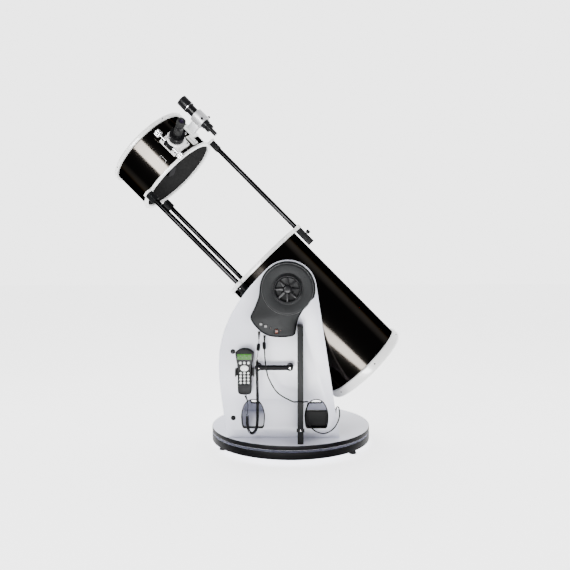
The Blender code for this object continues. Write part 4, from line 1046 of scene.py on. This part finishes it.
# ---- upper cage
def cage():
    """Upper tube, its two rings and the three rods with their sockets."""
    tube = shell("cage_shell", "cage", "cage_tube", *CAGE_ENDS)
    label = []
    for x, y in rounded(30, 24, 2):
        label.append((*spot(TUBE_RADIUS + 0.0001, -89 - math.degrees(y / TUBE_RADIUS)), 0.7 - x))
    tube.add(from_curve(round_line("frame", label, 0.0004, True)), "enamel", TUBE)
    tube.done()
    top = Piece("sky_ring", "cage", "white_casting", ("cage_top_ring",))
    profile = [(0.184, 0.832), (RING_RADIUS, 0.828), (RING_RADIUS, 0.816), (0.168, 0.816), (0.168, 0.832)]
    top.add(lathe(profile, 192, 0.0022, closed=True), "enamel", TUBE)
    screws_round(top, RING_RADIUS - 0.0004, 0.822, (10, 50, 140, 190, 250, 310), 0.0024, "satin")
    top.done()
    low = Piece("cage_truss_ring", "cage", "white_casting", ("cage_lower_ring",))
    lugged(low, 0.651, 0.66)
    low.done()
    for name, angle in RODS.items():
        rod = Piece("polished_rod_" + name, "cage", "black_rod", ("truss_rod_" + name,))
        place = around(angle, ROD_CIRCLE)
        profile = mm((0, 66), (9, 66), (10, 67.5), (10, 658.5), (9.2, 660), (0, 660))
        rod.add(lathe(profile, 48), "rod", place)
        socket = rounded(26, 26, 4)
        rod.add(plate([socket, circle(0.01, 32)], 0.04, 0.0018, 3), "plastic", place @ up(0.6307))
        for i in range(5):
            rib = place @ up(0.6185 + i * 0.006)
            rod.add(plate([[(x * 1.03, y * 1.03) for x, y in socket], circle(0.01, 32)], 0.0022, 0.0006),
                    "plastic", rib)
        rod.done()


def focuser():
    """Cast base with its screws, the drawtube, the eyepiece and the focus shaft with knurled knobs."""
    base = Piece("focuser_casting", "cage", "white_casting", ("focuser_base",))
    outline = rounded(82, 82, 5)
    bore = circle(0.0255, 56)
    base.add(plate([outline, bore], 0.01, 0.0016, 3), "enamel", FOCUSER @ up(0.185))
    saddle = bmesh.new()
    rows = 24
    grid = []
    for i in range(rows + 1):
        y = -0.041 + 0.082 * i / rows
        z = math.sqrt((TUBE_RADIUS + GAP) ** 2 - y * y)
        grid.append([saddle.verts.new((x, y, level)) for x, level in
                     ((-0.041, z), (-0.041, 0.1825), (0.041, 0.1825), (0.041, z))])
    for a, b in zip(grid, grid[1:]):
        bridge(saddle, a, b, False)
    for end in (grid[0], grid[-1]):
        saddle.faces.new(end)
    base.add(finished(saddle), "enamel", FOCUSER)
    collar = mm((25.5, 215), (35, 215), (36.8, 213), (37, 190), (39, 186.2), (25.5, 186.2))
    base.add(lathe(collar, 96, 0.0012, closed=True), "enamel", FOCUSER)
    base.add(block((0.04, 0.018, 0.024), 0.002, 3), "plastic", FOCUSER @ at(0, FOCUS_SHAFT, 0.197))
    for x in (-0.034, 0.034):
        for y in (-0.034, 0.034):
            base.screw(0.0034, 0.0018, "satin", FOCUSER @ at(x, y, 0.1898))
    for x in (-0.01, 0.01):
        base.screw(0.0024, 0.0014, "satin", FOCUSER @ at(x, FOCUS_SHAFT, 0.2088))
    base.done()
    tube = Piece("focus_drawtube", "focus_carriage", "black_plastic", ("drawtube",))
    profile = mm((30, 243), (30, 238), (29, 237.2), (30, 236.4), (30, 216), (25, 215.5), (25, 158), (22.5, 158),
                 (22.5, 226), (16.2, 226), (16.2, 243))
    tube.add(lathe(profile, 96, 0.0006, closed=True, ribs=(48, 0.0005, 0.0295)),
             "satin", FOCUSER)
    for angle in (70, 250):
        place = FOCUSER @ turned_by(angle) @ at(0.0295, 0, 0.2345) @ SIDEWAYS
        tube.add(lathe(mm((0, 10), (4.2, 9.8), (4.4, 5), (1.8, 4), (1.8, 0)), 36,
                       0.0005, ribs=(12, 0.0005, 0.004)), "steel", place)
    tube.done()
    ocular = Piece("ocular", "focus_carriage", "black_plastic", ("eyepiece",))
    barrel = mm((0, 222), (15.8, 222), (15.8, 243.3), (16.8, 244))
    ocular.add(lathe(barrel, 64), "steel", FOCUSER)
    body = mm((15, 243.5), (16.2, 245), (16.5, 252), (15.8, 270), (15.2, 306), (16.6, 311))
    ocular.add(lathe(body, 80, 0.002), "satin", FOCUSER)
    grip = [(0.0158, 0.256), (0.0164, 0.2565)]
    for i in range(7):
        z = 0.259 + i * 0.004
        grip += [(0.0165, z), (0.0165, z + 0.0022), (0.016, z + 0.0026), (0.016, z + 0.0036)]
    grip += [(0.0156, 0.288)]
    ocular.add(lathe(grip, 64), "rubber", FOCUSER)
    cup = mm((16, 310.5), (17, 312), (16.8, 325), (16.3, 335), (13.5, 336.6), (10.5, 336), (9.8, 333), (9.5, 332))
    ocular.add(lathe(cup, 80, 0.0014), "rubber", FOCUSER)
    ocular.add(lathe(mm((0, 333.8), (5, 333.4), (9.8, 331.8)), 64), "glass", FOCUSER)
    ocular.done()
    shaft = Piece("focus_knobs_and_shaft", "focus_knobs", "steel", ("focus_shaft",))
    lying = FOCUSER @ at(0, FOCUS_SHAFT, 0.201) @ SIDEWAYS
    shaft.add(lathe([(0.003, -0.049), (0.003, 0.049)], 24), "steel", lying)
    for side in (1, -1):
        knob = mm((0, 72), (11.2, 72), (13.4, 70.5), (14, 68.5), (14, 52), (12.8, 49.8), (6, 48.6), (3, 48))
        points = [(r, z * side) for r, z in knob]
        shaft.add(lathe(points, 108, 0.0008, ribs=(36, 0.0006, 0.0132)), "steel", lying)
        band = [(0.0136, 0.056 * side), (0.0143, 0.0566 * side), (0.0143, 0.0584 * side), (0.0136, 0.059 * side)]
        shaft.add(lathe(band, 64), "rubber", lying)
    shaft.done()


def finder():
    """Finder scope with its cast bracket, adjusting screws and the shoe beside it."""
    scope = Piece("finder_body", "cage", "black_plastic", ("finder_scope",))
    dew = mm((20.5, 105.5), (22.5, 106), (22.5, 64), (21.8, 59), (19.2, 55), (19, 53), (19, -37), (17.5, -39.5),
             (15, -41), (15, -43.5), (16.5, -45), (16.5, -59), (15, -60.5), (8.5, -61), (8.5, -87), (7.8, -90),
             (6, -90))
    scope.add(lathe(dew, 96, 0.0008), "satin", FINDER)
    scope.add(lathe([(0.0205, 0.1055), (0.0205, 0.089)], 96), "baffle", FINDER)
    scope.add(lathe(mm((0, 91.5), (10, 91), (20.5, 89.2)), 96), "glass", FINDER)
    scope.add(lathe([(0, -0.0892), (0.006, -0.0898)], 48), "glass", FINDER)
    scope.add(lathe(ring_profile(0.0229, 0.022, 0.0615, 0.0645), 96, closed=True), "steel", FINDER)
    grip = mm((16, -44), (17, -45.5), (17, -57), (16, -58.5))
    scope.add(lathe(grip, 96, ribs=(24, 0.0007, 0.0165)), "plastic", FINDER)
    scope.done()
    bracket = Piece("finder_mount", "cage", "white_casting", ("finder_bracket",))
    ring = ring_profile(0.0275, 0.0195, -0.025, 0.025)
    bracket.add(lathe(ring, 96, 0.0018, closed=True), "silver", FINDER)
    bracket.add(block((0.046, 0.024, 0.036), 0.003, 3), "silver", FINDER @ at(-0.048, 0, 0))
    lying = FINDER @ at(-0.0668, 0, 0) @ SIDEWAYS @ turned_by(90)
    bracket.add(plate([rounded(44, 62, 4)], 0.01, 0.0018, 3), "enamel", lying)
    for turn in (60, -60):
        place = FINDER @ turned_by(turn) @ at(0.027, 0, -0.015) @ SIDEWAYS
        knob = mm((1.6, 0), (1.6, 4.5), (4.8, 5.5), (5, 13), (3.6, 14), (0, 14))
        bracket.add(lathe(knob, 36, 0.0006, ribs=(12, 0.0005, 0.0044)), "plastic", place)
    bracket.done()
    shoe = Piece("spare_shoe", "cage", "white_casting")
    place = around(37, TUBE_RADIUS + 0.0036, 0.69) @ SIDEWAYS @ turned_by(90)
    outline = rounded(30, 44, 3)
    shoe.add(plate([outline], 0.006, 0.0012, 2), "enamel", place)
    # a dark strip on the shoe's face: painted shade standing in for its slot
    shoe.add(block((0.0022, 0.04, 0.0008), 0.0003), "mark", place @ at(-0.007, 0, 0.003))
    shoe.screw(0.0026, 0.0014, "satin", place @ at(0.008, -0.012, 0.0028))
    shoe.done()


cage()
focuser()
finder()


# ---- CAD nodes whose shape stays
KEPT = {
    "laminate": ("front_panel",),
    "rubber": ("foot_near_right", "foot_far", "foot_near_left"),
    "plastic": ("azimuth_gear", "azimuth_drive", "handset_holder", "near_trunnion", "far_trunnion", "mirror_cell",
                "collimation_knob_1", "collimation_knob_2", "collimation_knob_3"),
    "baffle": ("spider",),
    "steel": ("azimuth_bearing", "pivot_bolt", "altitude_motor"),
    "brass": ("azimuth_pinion", "altitude_gear"),
    "mirror": ("primary_mirror",),
    # the secondary mirror carries the painted dark reflection
    "diagonal": ("secondary_mirror",),
}
for kind, nodes in KEPT.items():
    for node in nodes:
        kept = frame["nodes"][node]
        kept.data.materials.clear()
        kept.data.materials.append(M[kind])
